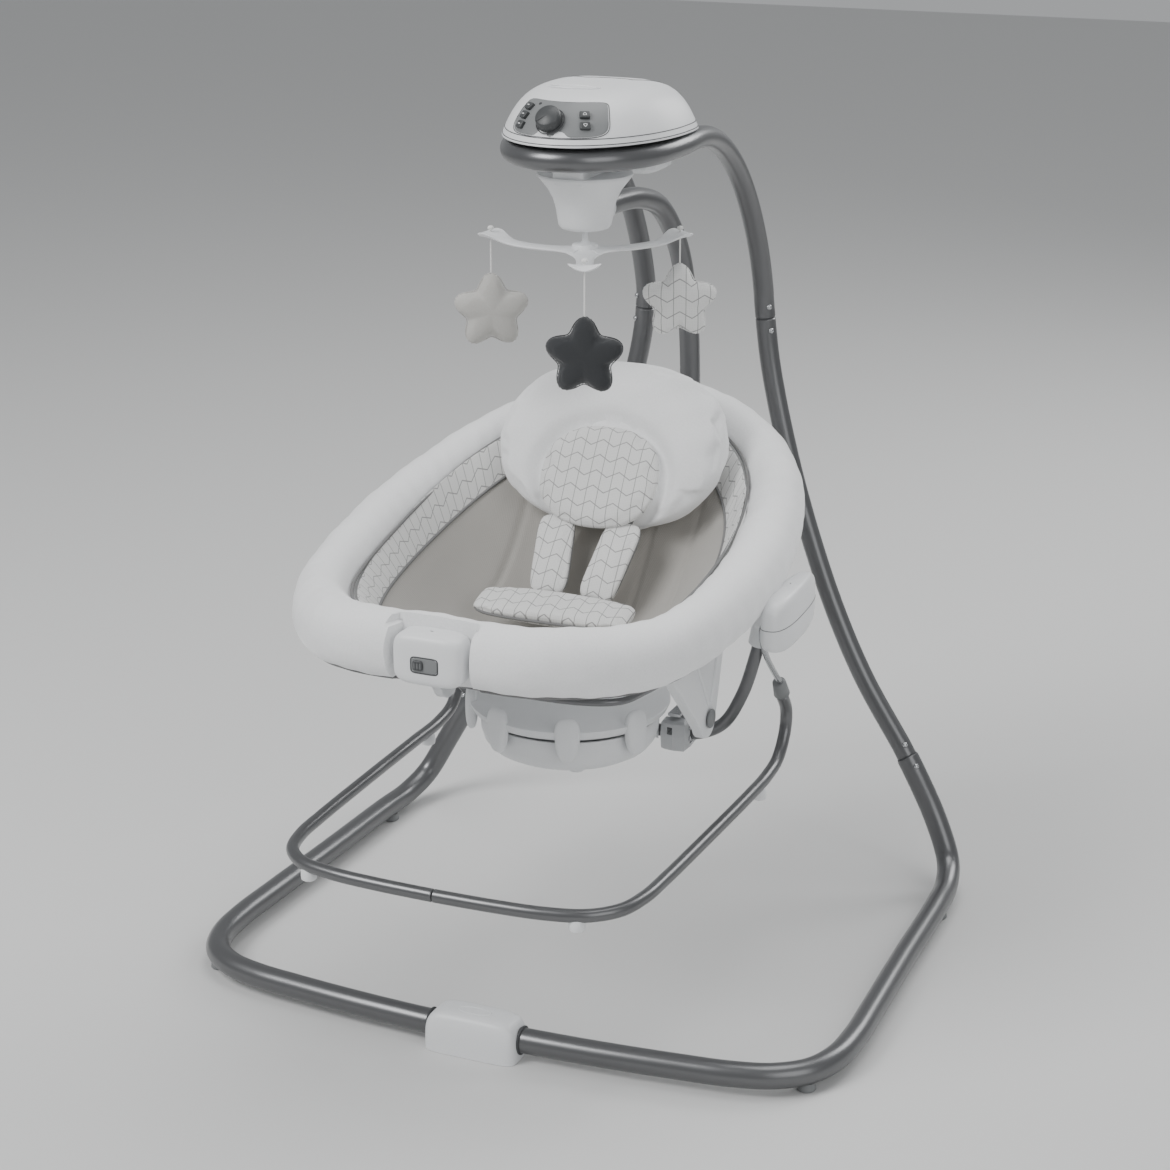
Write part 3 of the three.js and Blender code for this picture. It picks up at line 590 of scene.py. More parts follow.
def stuffed(piece: bpy.types.Object, voxel: float = 5.0, cap: float = 3.5,
            slack: float = 0.05) -> bpy.types.Object:
    """Lets the stuffing swell a padded piece, as a cloth simulation of its cover.

    An evenly meshed copy of the piece is filled with air pressure in slightly oversized cloth, without
    gravity. The piece follows the copy through a surface bind, and no point moves further than the cap.

    Args:
        piece: the padded piece.
        voxel: mesh size of the simulated cover, in millimetres.
        cap: the furthest that a point may move, in millimetres.
        slack: how much larger than the piece the cloth is cut.

    Returns:
        The same piece.
    """
    scene = bpy.context.scene
    cover = bpy.data.objects.new(f"{piece.name}_cover", piece.data.copy())
    scene.collection.objects.link(cover)
    remesh = cover.modifiers.new("even mesh", "REMESH")
    remesh.mode = "VOXEL"
    remesh.voxel_size = voxel * MM
    even = bpy.data.meshes.new_from_object(cover.evaluated_get(bpy.context.evaluated_depsgraph_get()))
    cover.modifiers.clear()
    cover.data = even
    cloth = cover.modifiers.new("cloth", "CLOTH")
    cloth.settings.quality = 6
    cloth.settings.mass = 0.12
    cloth.settings.use_pressure = True
    cloth.settings.uniform_pressure_force = 4.0
    cloth.settings.shrink_min = -slack
    cloth.settings.tension_stiffness = 20.0
    cloth.settings.compression_stiffness = 8.0
    cloth.settings.bending_stiffness = 0.4
    cloth.settings.effector_weights.gravity = 0.0
    cloth.collision_settings.use_collision = False
    cloth.point_cache.frame_start = 1
    cloth.point_cache.frame_end = 20
    follow = piece.modifiers.new("follow cover", "SURFACE_DEFORM")
    follow.target = cover
    scene.frame_set(1)
    with bpy.context.temp_override(object=piece, active_object=piece):
        bpy.ops.object.surfacedeform_bind(modifier=follow.name)
    for number in range(1, 21):
        scene.frame_set(number)
    still = np.empty(len(piece.data.vertices) * 3, dtype=np.float32)
    moved = still.copy()
    piece.data.vertices.foreach_get("co", still)
    piece.evaluated_get(bpy.context.evaluated_depsgraph_get()).data.vertices.foreach_get("co", moved)
    shift = (moved - still).reshape(-1, 3)
    size = np.linalg.norm(shift, axis=1, keepdims=True)
    shift *= np.minimum(1, cap * MM / np.maximum(size, 1e-9))
    LOG.info("%s swelled by up to %.1f mm", piece.name, min(float(size.max()) / MM, cap))
    piece.data.vertices.foreach_set("co", still + shift.ravel())
    piece.data.update()
    piece.modifiers.remove(follow)
    bpy.data.objects.remove(cover)
    scene.frame_set(1)
    return piece


def finish_nodes(finish: Finish, *names: str) -> None:
    """Gives CAD pieces that stay in view, or inside the head, their finish."""
    for name in names:
        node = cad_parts[name]
        node.data.materials.clear()
        node.data.materials.append(SHADE(finish))


def put(piece: bpy.types.Object, body: str, *nodes: str) -> bpy.types.Object:
    """Ties a piece to its moving body and hides the CAD pieces that it stands for."""
    if nodes:
        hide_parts(*nodes)
    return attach(piece, body)


# ---------------------------------------------------------------- sub-assemblies

def seam_ends(at: tuple[float, float, float], along: tuple[float, float, float]) -> tuple[list, list]:
    """The last two points of a tube before a joint and the first two of the tube after it."""
    place = np.array(at)
    run = np.array(along) / np.linalg.norm(along)
    return [tuple(place - 14 * run), tuple(place)], [tuple(place + 0.8 * run), tuple(place + 14 * run)]


LOWER_BEFORE, LOWER_AFTER = seam_ends((266.5, 302.5, 141), (-0.54, 0.12, 0.833))
UPPER_BEFORE, UPPER_AFTER = seam_ends((71.5, 347, 616), (-0.09, -0.06, 0.994))


@dataclass
class FloorFrame:
    """The bent tube frame: base halves, legs, the loop round the head, the foot cover and the feet."""

    base: Points = (
        (0.3, -260.5, BASE_Z), (70, -259.1, BASE_Z), (140, -255, BASE_Z), (210, -248.2, BASE_Z),
        (258, -241.9, BASE_Z), (297, -230, BASE_Z), (326, -207, BASE_Z), (341, -172, BASE_Z), (SIDE_X + 0.5,
                                                                                               -125, BASE_Z),
        (SIDE_X - 1, -60, BASE_Z), (SIDE_X - 5, 60, BASE_Z), (SIDE_X - 8, 190, BASE_Z),
        (SIDE_X - 12, 246, BASE_Z + 1.5), (324, 281, 35), (303, 296, 77), *LOWER_BEFORE,
    )
    leg: Points = (
        *LOWER_AFTER, (208, 318, 222), (166, 328, 300), (126, 337, 398), (97, 343, 489), (79, 347, 562),
        *UPPER_BEFORE,
    )
    loop: Points = (
        *UPPER_AFTER, (70, 342, 650), (70, 324, 696), (70, 292, 748), (71, 250, 792), (73, 205, 822),
        (76, 160, 840), (80, 110, LOOP_Z), (LOOP_X, HEAD_MID_Y, LOOP_Z),
    )

    def build(self) -> None:
        """Makes every piece of the frame."""
        for side in Side:
            put(tube(f"base_half_{side.word}", mirrored(self.base, side), BASE_R, GREY_PAINT, 260, 32),
                "stand", f"base_tube_{side.word}")
            put(tube(f"leg_{side.word}", mirrored(self.leg, side), LEG_R, GREY_PAINT, 160, 28),
                "stand", f"leg_tube_{side.word}")
            for name, ends in (("lower", LOWER_BEFORE + LOWER_AFTER), ("upper", UPPER_BEFORE + UPPER_AFTER)):
                self.joint(f"{name}_joint_{side.word}", mirrored(ends, side), side,
                           BASE_R if name == "lower" else LEG_R)
            for end, place in (("front", (324, -208)), ("rear", (SIDE_X - 9, 205))):
                foot = lathe(f"foot_{end}_{side.word}",
                             [(0, 0), (8.6, 0), (9.6, 1.2), (9.2, 4.4), (8, 8.2), (0, 8.2)], LINER,
                             (side.value * place[0], place[1]), 40)
                foot.data.materials[0] = SHADE(PANEL_GREY)
                put(foot, "stand", f"frame_foot_{end}_{side.word}")
        front = [(LOOP_X * math.sin(math.radians(d)), HEAD_MID_Y - LOOP_LENGTH * math.cos(math.radians(d)),
                  LOOP_Z - 1.5)
                 for d in (62, 36, 12, -12, -36, -62)]
        path = [*self.loop, *front, *[tuple(p) for p in mirrored(self.loop, Side.LEFT)[::-1]]]
        put(tube("head_loop", path, LEG_R, GREY_PAINT, 420, 28), "stand", "head_loop_tube")
        self.foot_cover()

    def joint(self, name: str, ends: np.ndarray, side: Side, radius: float) -> None:
        """The dark seam of a tube joint and the two snap buttons beside it."""
        before, after = ends[1], ends[2]
        run = (after - before) / np.linalg.norm(after - before)
        put(rod(f"{name}_seam", before - run * 0.4, after + run * 0.4, radius - 0.9, GROOVE, 0.2), "stand")
        out = np.array([side.value * 0.72, -0.69, 0.0])
        out -= run * (out @ run)
        out /= np.linalg.norm(out)
        for number, shift in enumerate((-13.0, 13.0)):
            size = radius if shift < 0 else LEG_R
            place = (before if shift < 0 else after) + run * shift + out * (size - 0.6)
            put(rod(f"{name}_snap_{number}", place - out, place + out * 2.6, SNAP_R, BRIGHT_STEEL, 1.2, 24),
                "stand")

    def foot_cover(self) -> None:
        """The block over the middle of the front bar, with a plain oval pressed into its top."""
        grid = pebble_grid((49, 22, 43), 0.32, 0.42, 120, 60)
        grid[..., 2] = np.maximum(grid[..., 2], 0.4)
        put(grid_object("foot_block", grid + [0, -262.5, 0], WHITE_PLASTIC, caps=True), "stand", "foot_cover")
        t = np.linspace(0, 2 * math.pi, 48, endpoint=False)
        oval = np.stack([17 * np.cos(t), -264 + 6.5 * np.sin(t), np.full_like(t, 42.6)], axis=1)
        put(tube("foot_oval", oval, 0.9, WHITE_PLASTIC, 96, 10, True), "stand")
        for side in Side:
            mouth = [(side.value * 48.4, -259.8, BASE_Z), (side.value * 50.4, -259.8, BASE_Z)]
            put(rod(f"foot_mouth_{side.word}", *mouth, 14.6, GROOVE, 0.5), "stand")


def head_outline(t: np.ndarray, r: np.ndarray, inset: float = 0.0) -> tuple[np.ndarray, np.ndarray]:
    """The head's outline at angle t, scaled by r and drawn in by inset."""
    sine, cosine = np.sin(t), np.cos(t)
    square = np.where(sine < 0, 1.0, 0.62)
    length = np.where(sine < 0, HEAD_MID_Y - HEAD_FRONT_Y, HEAD_REAR_Y - HEAD_MID_Y)
    x = (HEAD_X - inset) * r * np.sign(cosine) * np.abs(cosine) ** square
    return x, HEAD_MID_Y + (length - inset) * r * np.sign(sine) * np.abs(sine) ** square


def dome(t: np.ndarray, r: np.ndarray, lift: float = 0.0) -> np.ndarray:
    """Points on the head's dome: its height falls from the middle as 1 less r to a high power."""
    t, r = np.broadcast_arrays(np.asarray(t, float), np.asarray(r, float))
    x, y = head_outline(t, r)
    return np.stack([x, y, HEAD_Z + HEAD_H * (1 - r**HEAD_BULGE) + lift], axis=-1)


def dome_axes(t: float, r: float) -> tuple[np.ndarray, np.ndarray, np.ndarray, np.ndarray]:
    """A place on the dome with its across, up and outward directions."""
    place = dome(t, r)
    across = dome(t + 0.02, r) - dome(t - 0.02, r)
    fall = dome(t, r + 0.02) - dome(t, r - 0.02)
    out = np.cross(fall, across)
    out /= np.linalg.norm(out) * (1 if out[2] > 0 else -1)
    across /= np.linalg.norm(across)
    return place, across, np.cross(out, across), out


@dataclass
class MotorHead:
    """The head: covers, control panel with its dial and buttons, battery door and what is inside."""

    buttons: tuple[tuple[str, float, float], ...] = (
        ("mode_button_top", FRONT - 0.47, 0.817), ("mode_button_middle", FRONT - 0.465, 0.876),
        ("mode_button_bottom", FRONT - 0.45, 0.927), ("volume_up_button", FRONT + 0.35, 0.85),
        ("volume_down_button", FRONT + 0.37, 0.912),
    )
    dial: tuple[float, float] = (FRONT - 0.04, 0.89)

    def patch(self, angles: tuple[float, float], radii: tuple[float, float], corner: float, lift: float,
              rings: Sequence[float]) -> np.ndarray:
        """A patch of the dome with rounded corners, as rings of points that shrink towards its middle."""
        a = np.linspace(0, 2 * math.pi, 160, endpoint=False)[:, None]
        k = np.asarray(rings)[None]
        across = k * power(np.cos(a), corner)
        down = k * power(np.sin(a), corner)
        middle, reach = (angles[0] + angles[1]) / 2, (angles[1] - angles[0]) / 2
        centre, half = (radii[0] + radii[1]) / 2, (radii[1] - radii[0]) / 2
        return dome(middle + reach * across, centre + half * down, lift)

    def build(self) -> None:
        """Makes every piece of the head."""
        t = np.linspace(0, 2 * math.pi, 200, endpoint=False)[:, None]
        r = np.sin(np.linspace(0.001, math.pi / 2, 50))[None]
        grid = dome(t, r)
        skirt, inner = (
            np.stack([*head_outline(t[:, 0], np.ones(200), inset), np.full(200, HEAD_Z - 0.2)], axis=-1)[:,
                                                                                                         None]
            for inset in (0.6, 4.0)
        )
        grid[:, -1, 2] += 0.8
        put(grid_object("head_cover", np.concatenate([grid, skirt, inner], axis=1), WHITE_PLASTIC),
            "stand", "head_top_cover")
        for name, height in (("upper", 7.5), ("lower", 2.2)):
            ring = (1 - height / HEAD_H) ** (1 / HEAD_BULGE)
            put(tube(f"head_line_{name}", dome(t[:, 0], np.full(200, ring), -0.1), 0.45, GROOVE, 400, 8,
                     True), "stand")
        rings = [0.001, 0.25, 0.5, 0.75, 0.9, 0.96, 0.99, 1.0]
        panel = self.patch((FRONT - 0.62, FRONT + 0.62), (0.735, 0.962), 0.3, 0.7, rings)
        panel[:, -1, 2] -= 1.2
        put(grid_object("panel", panel, PANEL_GREY), "stand", "control_panel")
        edge = self.patch((FRONT - 0.63, FRONT + 0.63), (0.733, 0.965), 0.3, 0.1, [1.0])[:, 0]
        put(tube("panel_line", edge, 0.45, GROOVE, 300, 8, True), "stand")
        door = self.patch((math.pi / 2 - 1, math.pi / 2 + 1), (0.3, 0.92), 0.16, 0.35, rings)
        door[:, -1, 2] -= 0.8
        put(grid_object("battery_lid", door, WHITE_PLASTIC), "battery_lid", "battery_door")
        line = self.patch((math.pi / 2 - 1.01, math.pi / 2 + 1.01), (0.295, 0.925), 0.16, 0.05, [1.0])[:, 0]
        put(tube("battery_lid_line", line, 0.4, GROOVE, 300, 8, True), "stand")
        self.controls()
        t = np.linspace(0, 2 * math.pi, 64, endpoint=False)
        badge = np.stack([-8 + 26 * np.cos(t), 2 + 10 * np.sin(t)], axis=-1)
        put(tube("head_oval", np.column_stack([badge, np.full(64, HEAD_Z + HEAD_H)]), 0.6, WHITE_PLASTIC,
                 128, 8, True), "stand")
        finish_nodes(WHITE_PLASTIC, "head_lower_cover")
        finish_nodes(BRIGHT_STEEL, "drive_motor", "pivot_axle")
        finish_nodes(BOARD, "circuit_board")
        finish_nodes(CELLS, "battery_pack")

    def controls(self) -> None:
        """The dial, the five buttons and the light."""
        for name, t, r in self.buttons:
            place, across, up, out = dome_axes(t, r)
            volume = name.startswith("volume")
            grid = pebble_grid((5.0 if volume else 4.7, 3.9, 2.6), 0.28, 0.35, 48, 24)
            turn = np.stack([across, up, out])
            put(grid_object(name.replace("_button", "_key"), grid @ turn + place + out * 1.1, DARK_PLASTIC),
                f"{name}_body", name)
            arrow = [(-1.6, -1.0, 0), (1.6, -1.0, 0), (0, 1.5, 0)]
            bar = [(-1.8, 0, 0), (1.8, 0, 0), (0, 0.4, 0)]
            mark = np.array(arrow if volume else bar)
            if name == "volume_down_button":
                mark[:, 1] *= -1
            put(tube(f"{name}_mark", mark @ turn + place + out * 3.65, 0.35, WHITE_PLASTIC, 24, 6, True),
                f"{name}_body")
        place, across, up, out = dome_axes(*self.dial)
        turn = np.stack([across, up, out])
        t = np.linspace(0, 2 * math.pi, 144, endpoint=False)[:, None]
        profile = np.array([(12.2, 1.2), (13, 2.0), (12.7, 6.5), (12.0, 10.0), (10.6, 11.3), (0.01, 11.8)])
        grip = 1 + 0.012 * np.cos(36 * t) * np.array([0, 1, 1, 0.4, 0, 0])
        grid = turn_about(profile, t, swell=grip)
        put(grid_object("dial", grid @ turn + place, DARK_PLASTIC, smooth_angle=60), "dial", "speed_dial")
        pointer = np.array([(0, 0, 11.4), (-4, -4, 11.6), (-8.4, -7.6, 11.4)])
        put(tube("dial_pointer", pointer @ turn + place, 0.55, GROOVE, 20, 8), "dial")
        collar = np.stack([np.cos(t[:, 0]) * 14.2, np.sin(t[:, 0]) * 14.2, np.full(144, 0.9)], axis=-1)
        put(tube("dial_collar", collar @ turn + place, 0.5, GROOVE, 144, 8, True), "stand")
        place, _, _, out = dome_axes(FRONT - 0.33, 0.775)
        put(rod("light", place, place + out * 1.4, 1.5, GROOVE, 0.4, 20), "stand")


@dataclass
class HangerArm:
    """The hub, the two-part swing arm, the dish and its latch."""

    upper: Points = (
        (0, HUB_Y + 22, 783), (0, 90, 782), (0, 150, 776), (0, 208, 757), (0, 262, 706), (0, 291, 640),
        (0, 303, 560), (0, 301.5, 470),
    )
    lower: Points = (
        (0, 301.5, 469.4), (0, 297, 400), (0, 287, 330), (0, 262, 272), (0, 218, 236), (0, 165, 226),
        (0, 110, 225), (0, 66, 225),
    )

    def build(self) -> None:
        """Makes every piece of the arm."""
        cone = [(0.01, 769), (20.5, 769), (24, 770.2), (26, 773), (27.4, 780), (29, 790), (31.5, 799),
                (36.5, 808.5),
                (42.5, 816), (46, 820.5), (47.5, 822.2), (47, 824), (0.01, 824)]
        put(lathe("hub_cone", cone, WHITE_PLASTIC, (0, HUB_Y), 96, 60), "swing", "hanger_hub")
        neck = pebble_grid((17, 42, 21), 0.15, 0.2, 64, 24) + [0, HUB_Y - 2, 836]
        put(grid_object("hub_neck", neck, WHITE_PLASTIC, caps=True), "swing")
        put(rod("hub_socket", (0, HUB_Y + 8, 783), (0, HUB_Y + 46, 783), 16.4, WHITE_PLASTIC, 1.5, 48,
                14.6), "swing")
        put(tube("arm_upper", self.upper, LEG_R, GREY_PAINT, 200, 28), "swing", "swing_arm_upper")
        put(tube("arm_lower", self.lower, LEG_R, GREY_PAINT, 160, 28), "swing", "swing_arm_lower")
        for shift in (-14, 14):
            put(rod(f"arm_snap_{shift}", (LEG_R - 0.8, 301.5, 470 + shift),
                    (LEG_R + 2.2, 301.5, 470 + shift), SNAP_R,
                    BRIGHT_STEEL, 1.1, 24), "swing")
        self.dish()

    def dish(self) -> None:
        """The dish, with slots in its wall for the hoop, and the latch beside it."""
        profile = np.array([(0.01, 235), (58, 235), (62, 235.3), (74, 239), (83, 244), (88.5, 251),
                            (91.6, 261),
                            (DISH_R, 266), (DISH_R, 273.6), (91.2, DISH_TOP_Z), (88.8, DISH_TOP_Z), (88,
                                                                                                     273.6),
                            (88, 264), (84, 254), (77, 246), (60, 239.6), (0.01, 239.5)])
        t = np.linspace(0, 2 * math.pi, 360, endpoint=False)[:, None]
        grid = turn_about(profile, t, (0.0, DISH_Y))
        slot = (np.abs(grid[..., 1] - HOOP_Y) < 7.6) & (profile[:, 0] > 60)
        grid[..., 2] = np.where(slot, np.minimum(grid[..., 2], 240.2), grid[..., 2])
        put(grid_object("dish", grid, WHITE_PLASTIC, smooth_angle=35), "swing", "seat_dish")
        put(grid_object("dish_socket", pebble_grid((23, 34, 16), 0.2, 0.35) + [0, 66, 225], WHITE_PLASTIC),
            "swing")
        for number, x in enumerate((-26, 26)):
            put(grid_object(f"dish_bump_{number}",
                            pebble_grid((11, 11, 8), 1, 1, 32, 16) + [x, DISH_Y - 44, 236],
                            WHITE_PLASTIC), "swing")
        finish_nodes(BRACKET, "latch_bracket")
        finish_nodes(BRIGHT_STEEL, "latch_lever")
        for number, (dy, z) in enumerate(((-8, 246), (-8, 258))):
            put(rod(f"latch_screw_{number}", (115, HOOP_Y + dy, z), (117.4, HOOP_Y + dy, z), 3.0,
                    BRIGHT_STEEL, 0.7, 24),
                "swing")


@dataclass
class ToyMobile:
    """The three-armed spider with its strings and plush stars."""

    toys: tuple[tuple[str, float, Finish], ...] = (("front", 82, CHARCOAL), ("right", 64, PRINT),
                                                   ("left", 74, STAR_GREY))

    def build(self) -> None:
        """Makes the spider, the strings and the stars."""
        headings = [SPIDER_TURN + i * 2 * math.pi / 3 for i in range(3)]
        profile = [(0.01, 744.5), (10, 745.2), (13, 747), (13, 752.6), (12.4, 753.6), (5, 754.4),
                   (3.2, 757), (2.8, 768.8), (0.01, 768.8)]
        hub = lathe("spider_disc", profile, WHITE_PLASTIC, (0, HUB_Y), 64, 50)
        put(hub, "mobile", "mobile_spider")
        for number, heading in enumerate(headings):
            s = np.sin(np.linspace(0.001, math.pi / 2, 70))[None]
            t = np.linspace(0, 2 * math.pi, 32, endpoint=False)[:, None]
            x = s * (SPIDER_R + 13)
            swell = np.exp(-(((x - SPIDER_R) / 16) ** 2))
            end = np.sqrt(np.maximum(1 - np.maximum(0, (x - SPIDER_R) / 13.02) ** 2, 0))
            width = (8.5 + 15 * np.exp(-((x / 21) ** 2)) + 7.5 * swell) * end
            cup = 3.4 * swell * np.abs(np.cos(t)) ** 3 * end
            z = 2.6 * end * np.sin(t) + 4.4 * swell - 3.0 * np.sin(np.pi * x / SPIDER_R) + cup
            grid = np.stack([x * np.ones_like(t), width * np.cos(t), z], axis=-1)
            grid = turned(grid, heading=heading) + [0, HUB_Y, SPIDER_Z]
            put(grid_object(f"spider_arm_{number}", grid, WHITE_PLASTIC, caps=True), "mobile")
        finish_nodes(STRING, "star_string_front", "star_string_right", "star_string_left")
        for index, (side, drop, finish) in enumerate(self.toys):
            x, y = SPIDER_R * math.cos(headings[index]), HUB_Y + SPIDER_R * math.sin(headings[index])
            tip = np.array([x, y, SPIDER_Z - drop])
            self.star(side, tip, headings[0] + math.pi / 2 + 0.12 * (index - 1), finish)

    def star(self, side: str, centre: np.ndarray, heading: float, finish: Finish) -> None:
        """One puffy star: its radius follows five soft lobes and its thickness a rounded section, with a
        stitched seam round its edge and small puckers beside it."""
        t = np.linspace(0, 2 * math.pi, 160, endpoint=False)[:, None]
        s = np.linspace(-math.pi / 2 + 0.001, math.pi / 2 - 0.001, 48)[None]
        lobes = 0.7 + 0.3 * ((1 + np.cos(5 * t)) / 2) ** 0.95
        pucker = 1 - 0.012 * np.cos(60 * t) * np.cos(s) ** 8 - 0.02 * np.exp(-((s / 0.09) ** 2))
        r = STAR_R * lobes * np.abs(np.cos(s)) ** 0.7 * pucker
        y = STAR_HALF_T * (0.9 + 0.06 * np.cos(5 * t) * np.cos(s)) * power(np.sin(s), 0.8)
        grid = np.stack([r * np.sin(t), y, r * np.cos(t)], axis=-1)
        piece = grid_object(f"toy_star_{side}", turned(grid, heading=heading) + centre, finish, caps=True)
        stuffed(piece, 3.0, 1.5)
        put(piece, f"toy_{side}", f"star_{side}")
        edge = np.stack([STAR_R * lobes[:, 0] * 0.985 * np.sin(t[:, 0]), 0 * t[:, 0],
                         STAR_R * lobes[:, 0] * 0.985 * np.cos(t[:, 0])], axis=-1)
        put(tube(f"toy_star_seam_{side}", turned(edge, heading=heading) + centre, 0.5, finish, 320, 6,
                 True), f"toy_{side}")
        lay_uv(piece.data, np.vstack([grid.reshape(-1, 3), np.zeros((2, 3))])[:, [0, 2]] * MM)


@dataclass
class BouncerBase:
    """What carries the seat: stand tubes and feet, spring rods, hoop, handles and under-pan."""

    stand: Points = (
        (0.3, STAND_FRONT_Y, STAND_Z), (60, STAND_FRONT_Y + 1.5, STAND_Z), (110, STAND_FRONT_Y + 6, STAND_Z),
        (148, STAND_FRONT_Y + 17, STAND_Z), (172, STAND_FRONT_Y + 40, STAND_Z),
        (182, STAND_FRONT_Y + 74, STAND_Z),
        (185, -230, STAND_Z), (188, -120, STAND_Z), (STAND_X, -10, STAND_Z), (STAND_X, 45, STAND_Z + 1),
        (STAND_X, 79, 213), (STAND_X, 99, 236), (STAND_X, 101, 258), (STAND_X, PLUG_Y, PLUG_Z - 0.8),
    )
    hoop: Points = ((192, HOOP_Y, 384), (183, HOOP_Y, 346), (169, HOOP_Y, 300), (148, HOOP_Y, 264),
                    (118, HOOP_Y, 249),
                    (70, HOOP_Y, HOOP_Z))

    def build(self) -> None:
        """Makes every piece of the bouncer below the seat."""
        path = [*self.hoop, (0, HOOP_Y, HOOP_Z), *[tuple(p) for p in mirrored(self.hoop, Side.LEFT)[::-1]]]
        put(tube("seat_hoop", path, STAND_R, GREY_PAINT, 240, 24), "bouncer", "hanger_hoop")
        for side in Side:
            self.side_pieces(side)
        pan = [(0.01, 279), (92, 279), (97, 280.5), (101, 284), (103.4, 289), (103.4, 290.6), (102, 291.5),
               (0.01, 291.5)]
        put(lathe("pan", pan, WHITE_PLASTIC, (0, DISH_Y), 128, 50), "bouncer", "under_pan")
        for number, degrees in enumerate((-64, -22, 22, 64)):
            fin = pebble_grid((6.4, 14.5, 24), 0.7, 0.75, 48, 32) + [DISH_R + 9.4, 0, 282]
            fin[..., 1] *= 0.72 + 0.28 * (fin[..., 2] - 258) / 48
            fin = turned(fin, heading=FRONT + math.radians(degrees)) + [0, DISH_Y, 0]
            put(grid_object(f"pan_finger_{number}", fin, WHITE_PLASTIC), "bouncer")

    def side_pieces(self, side: Side) -> None:
        """One side's stand tube, feet, spring rod, plug, handle and pin."""
        s, word = side.value, side.word
        put(tube(f"stand_half_{word}", mirrored(self.stand, side), STAND_R, GREY_PAINT, 260, 24),
            "bouncer_stand", f"stand_tube_{word}")
        for end, (x, y) in (("front", (140, -335)), ("rear", (STAND_X, 20))):
            profile = [(0.01, 189), (6, 189), (7.4, 190), (7.8, 193), (7.8, 198.4), (6, 201), (0.01, 201)]
            foot = lathe(f"stand_pad_{end}_{word}", profile, WHITE_PLASTIC, (s * x, y), 40)
            put(foot, "bouncer_stand", f"stand_foot_{end}_{word}")
        path = [(s * 196, 0, 385), (s * 196, 1, 372), (s * 197, 12, 350), (s * 195, 50, 315),
                (s * 191, PLUG_Y - 6, PLUG_Z + 14)]
        put(tube(f"spring_wire_{word}", path, ROD_R, BRIGHT_STEEL, 80, 16), "bouncer", f"spring_rod_{word}")
        put(rod(f"spring_plug_{word}", (s * STAND_X, PLUG_Y, PLUG_Z),
                (s * STAND_X, PLUG_Y - 11, PLUG_Z + 18), 8.5, PANEL_GREY,
                1.2, 32, 7.0), "bouncer")
        mirror, centre = np.array([s, 1, 1]), np.array(HANDLE_AT)
        ear = pebble_grid(HANDLE_HALF, 0.75, 0.5, 96, 48)
        ear[..., 0] *= 1 - 0.2 * (ear[..., 1] / 62)
        put(grid_object(f"handle_{word}", (ear + centre) * mirror, WHITE_PLASTIC), "bouncer",
            f"carry_handle_{word}")
        t = np.linspace(0, 2 * math.pi, 64, endpoint=False)
        reach, length = HANDLE_HALF[0] + 0.05, HANDLE_HALF[1] + 0.05
        line = np.stack([reach * power(np.cos(t), 0.75), length * power(np.sin(t), 0.75), 0 * t], axis=-1)
        line[:, 0] *= 1 - 0.2 * (line[:, 1] / 62)
        put(tube(f"handle_line_{word}", (line + centre) * mirror, 0.35, GROOVE, 128, 6, True), "bouncer")
        put(rod(f"handle_sleeve_{word}", (s * 185, HOOP_Y, 356), (s * 193.5, HOOP_Y, 398), 10.5,
                WHITE_PLASTIC, 1.4, 40, 11), "bouncer")
        put(grid_object(f"handle_bridge_{word}", pebble_grid((25, 13, 12), 0.3, 0.35) + [s * 211, 10, 392],
                        WHITE_PLASTIC), "bouncer")
        for name, near, far, radius, edge, sides in (("pin", 134, 153.6, 7.0, 0.5, 40),
                                                     ("cap", 151.6, 154.4, 10.0, 0.9, 48)):
            ends = (s * near, PIN_Y, PIN_Z), (s * far, PIN_Y, PIN_Z)
            put(rod(f"recline_{name}_{word}", *ends, radius, PANEL_GREY, edge, sides), "bouncer")


RIM_HALF = ((98, -312, 438), (172, -228, 431), (199, -67, 453), (176, 84, 490), (134, 150, 515),
            (78, 178, 536))
RIM_POINTS = ((0, -320, 440), *RIM_HALF, (0, 188, 548), *((-x, y, z) for x, y, z in reversed(RIM_HALF)))


def seat_surface(path: np.ndarray, r: np.ndarray, drop: float = 0.0) -> np.ndarray:
    """Points on the seat's inner surface: each heading runs from the deepest point out to the rim, and its
    height rises as a power of r that is low towards the head and high at the sides."""
    side = np.abs(path[:, 0]) / 199
    head = np.maximum(0, path[:, 1] - SEAT_Y) / 248
    steep = (2.3 + 1.1 * side**2 - 0.95 * head**1.5)[:, None]
    x = path[:, :1] * r
    y = SEAT_Y + (path[:, 1:2] - SEAT_Y) * r
    z = SEAT_Z + (path[:, 2:] - SEAT_Z) * (r / 0.83) ** steep - drop
    return np.stack([x, y, z], axis=-1)


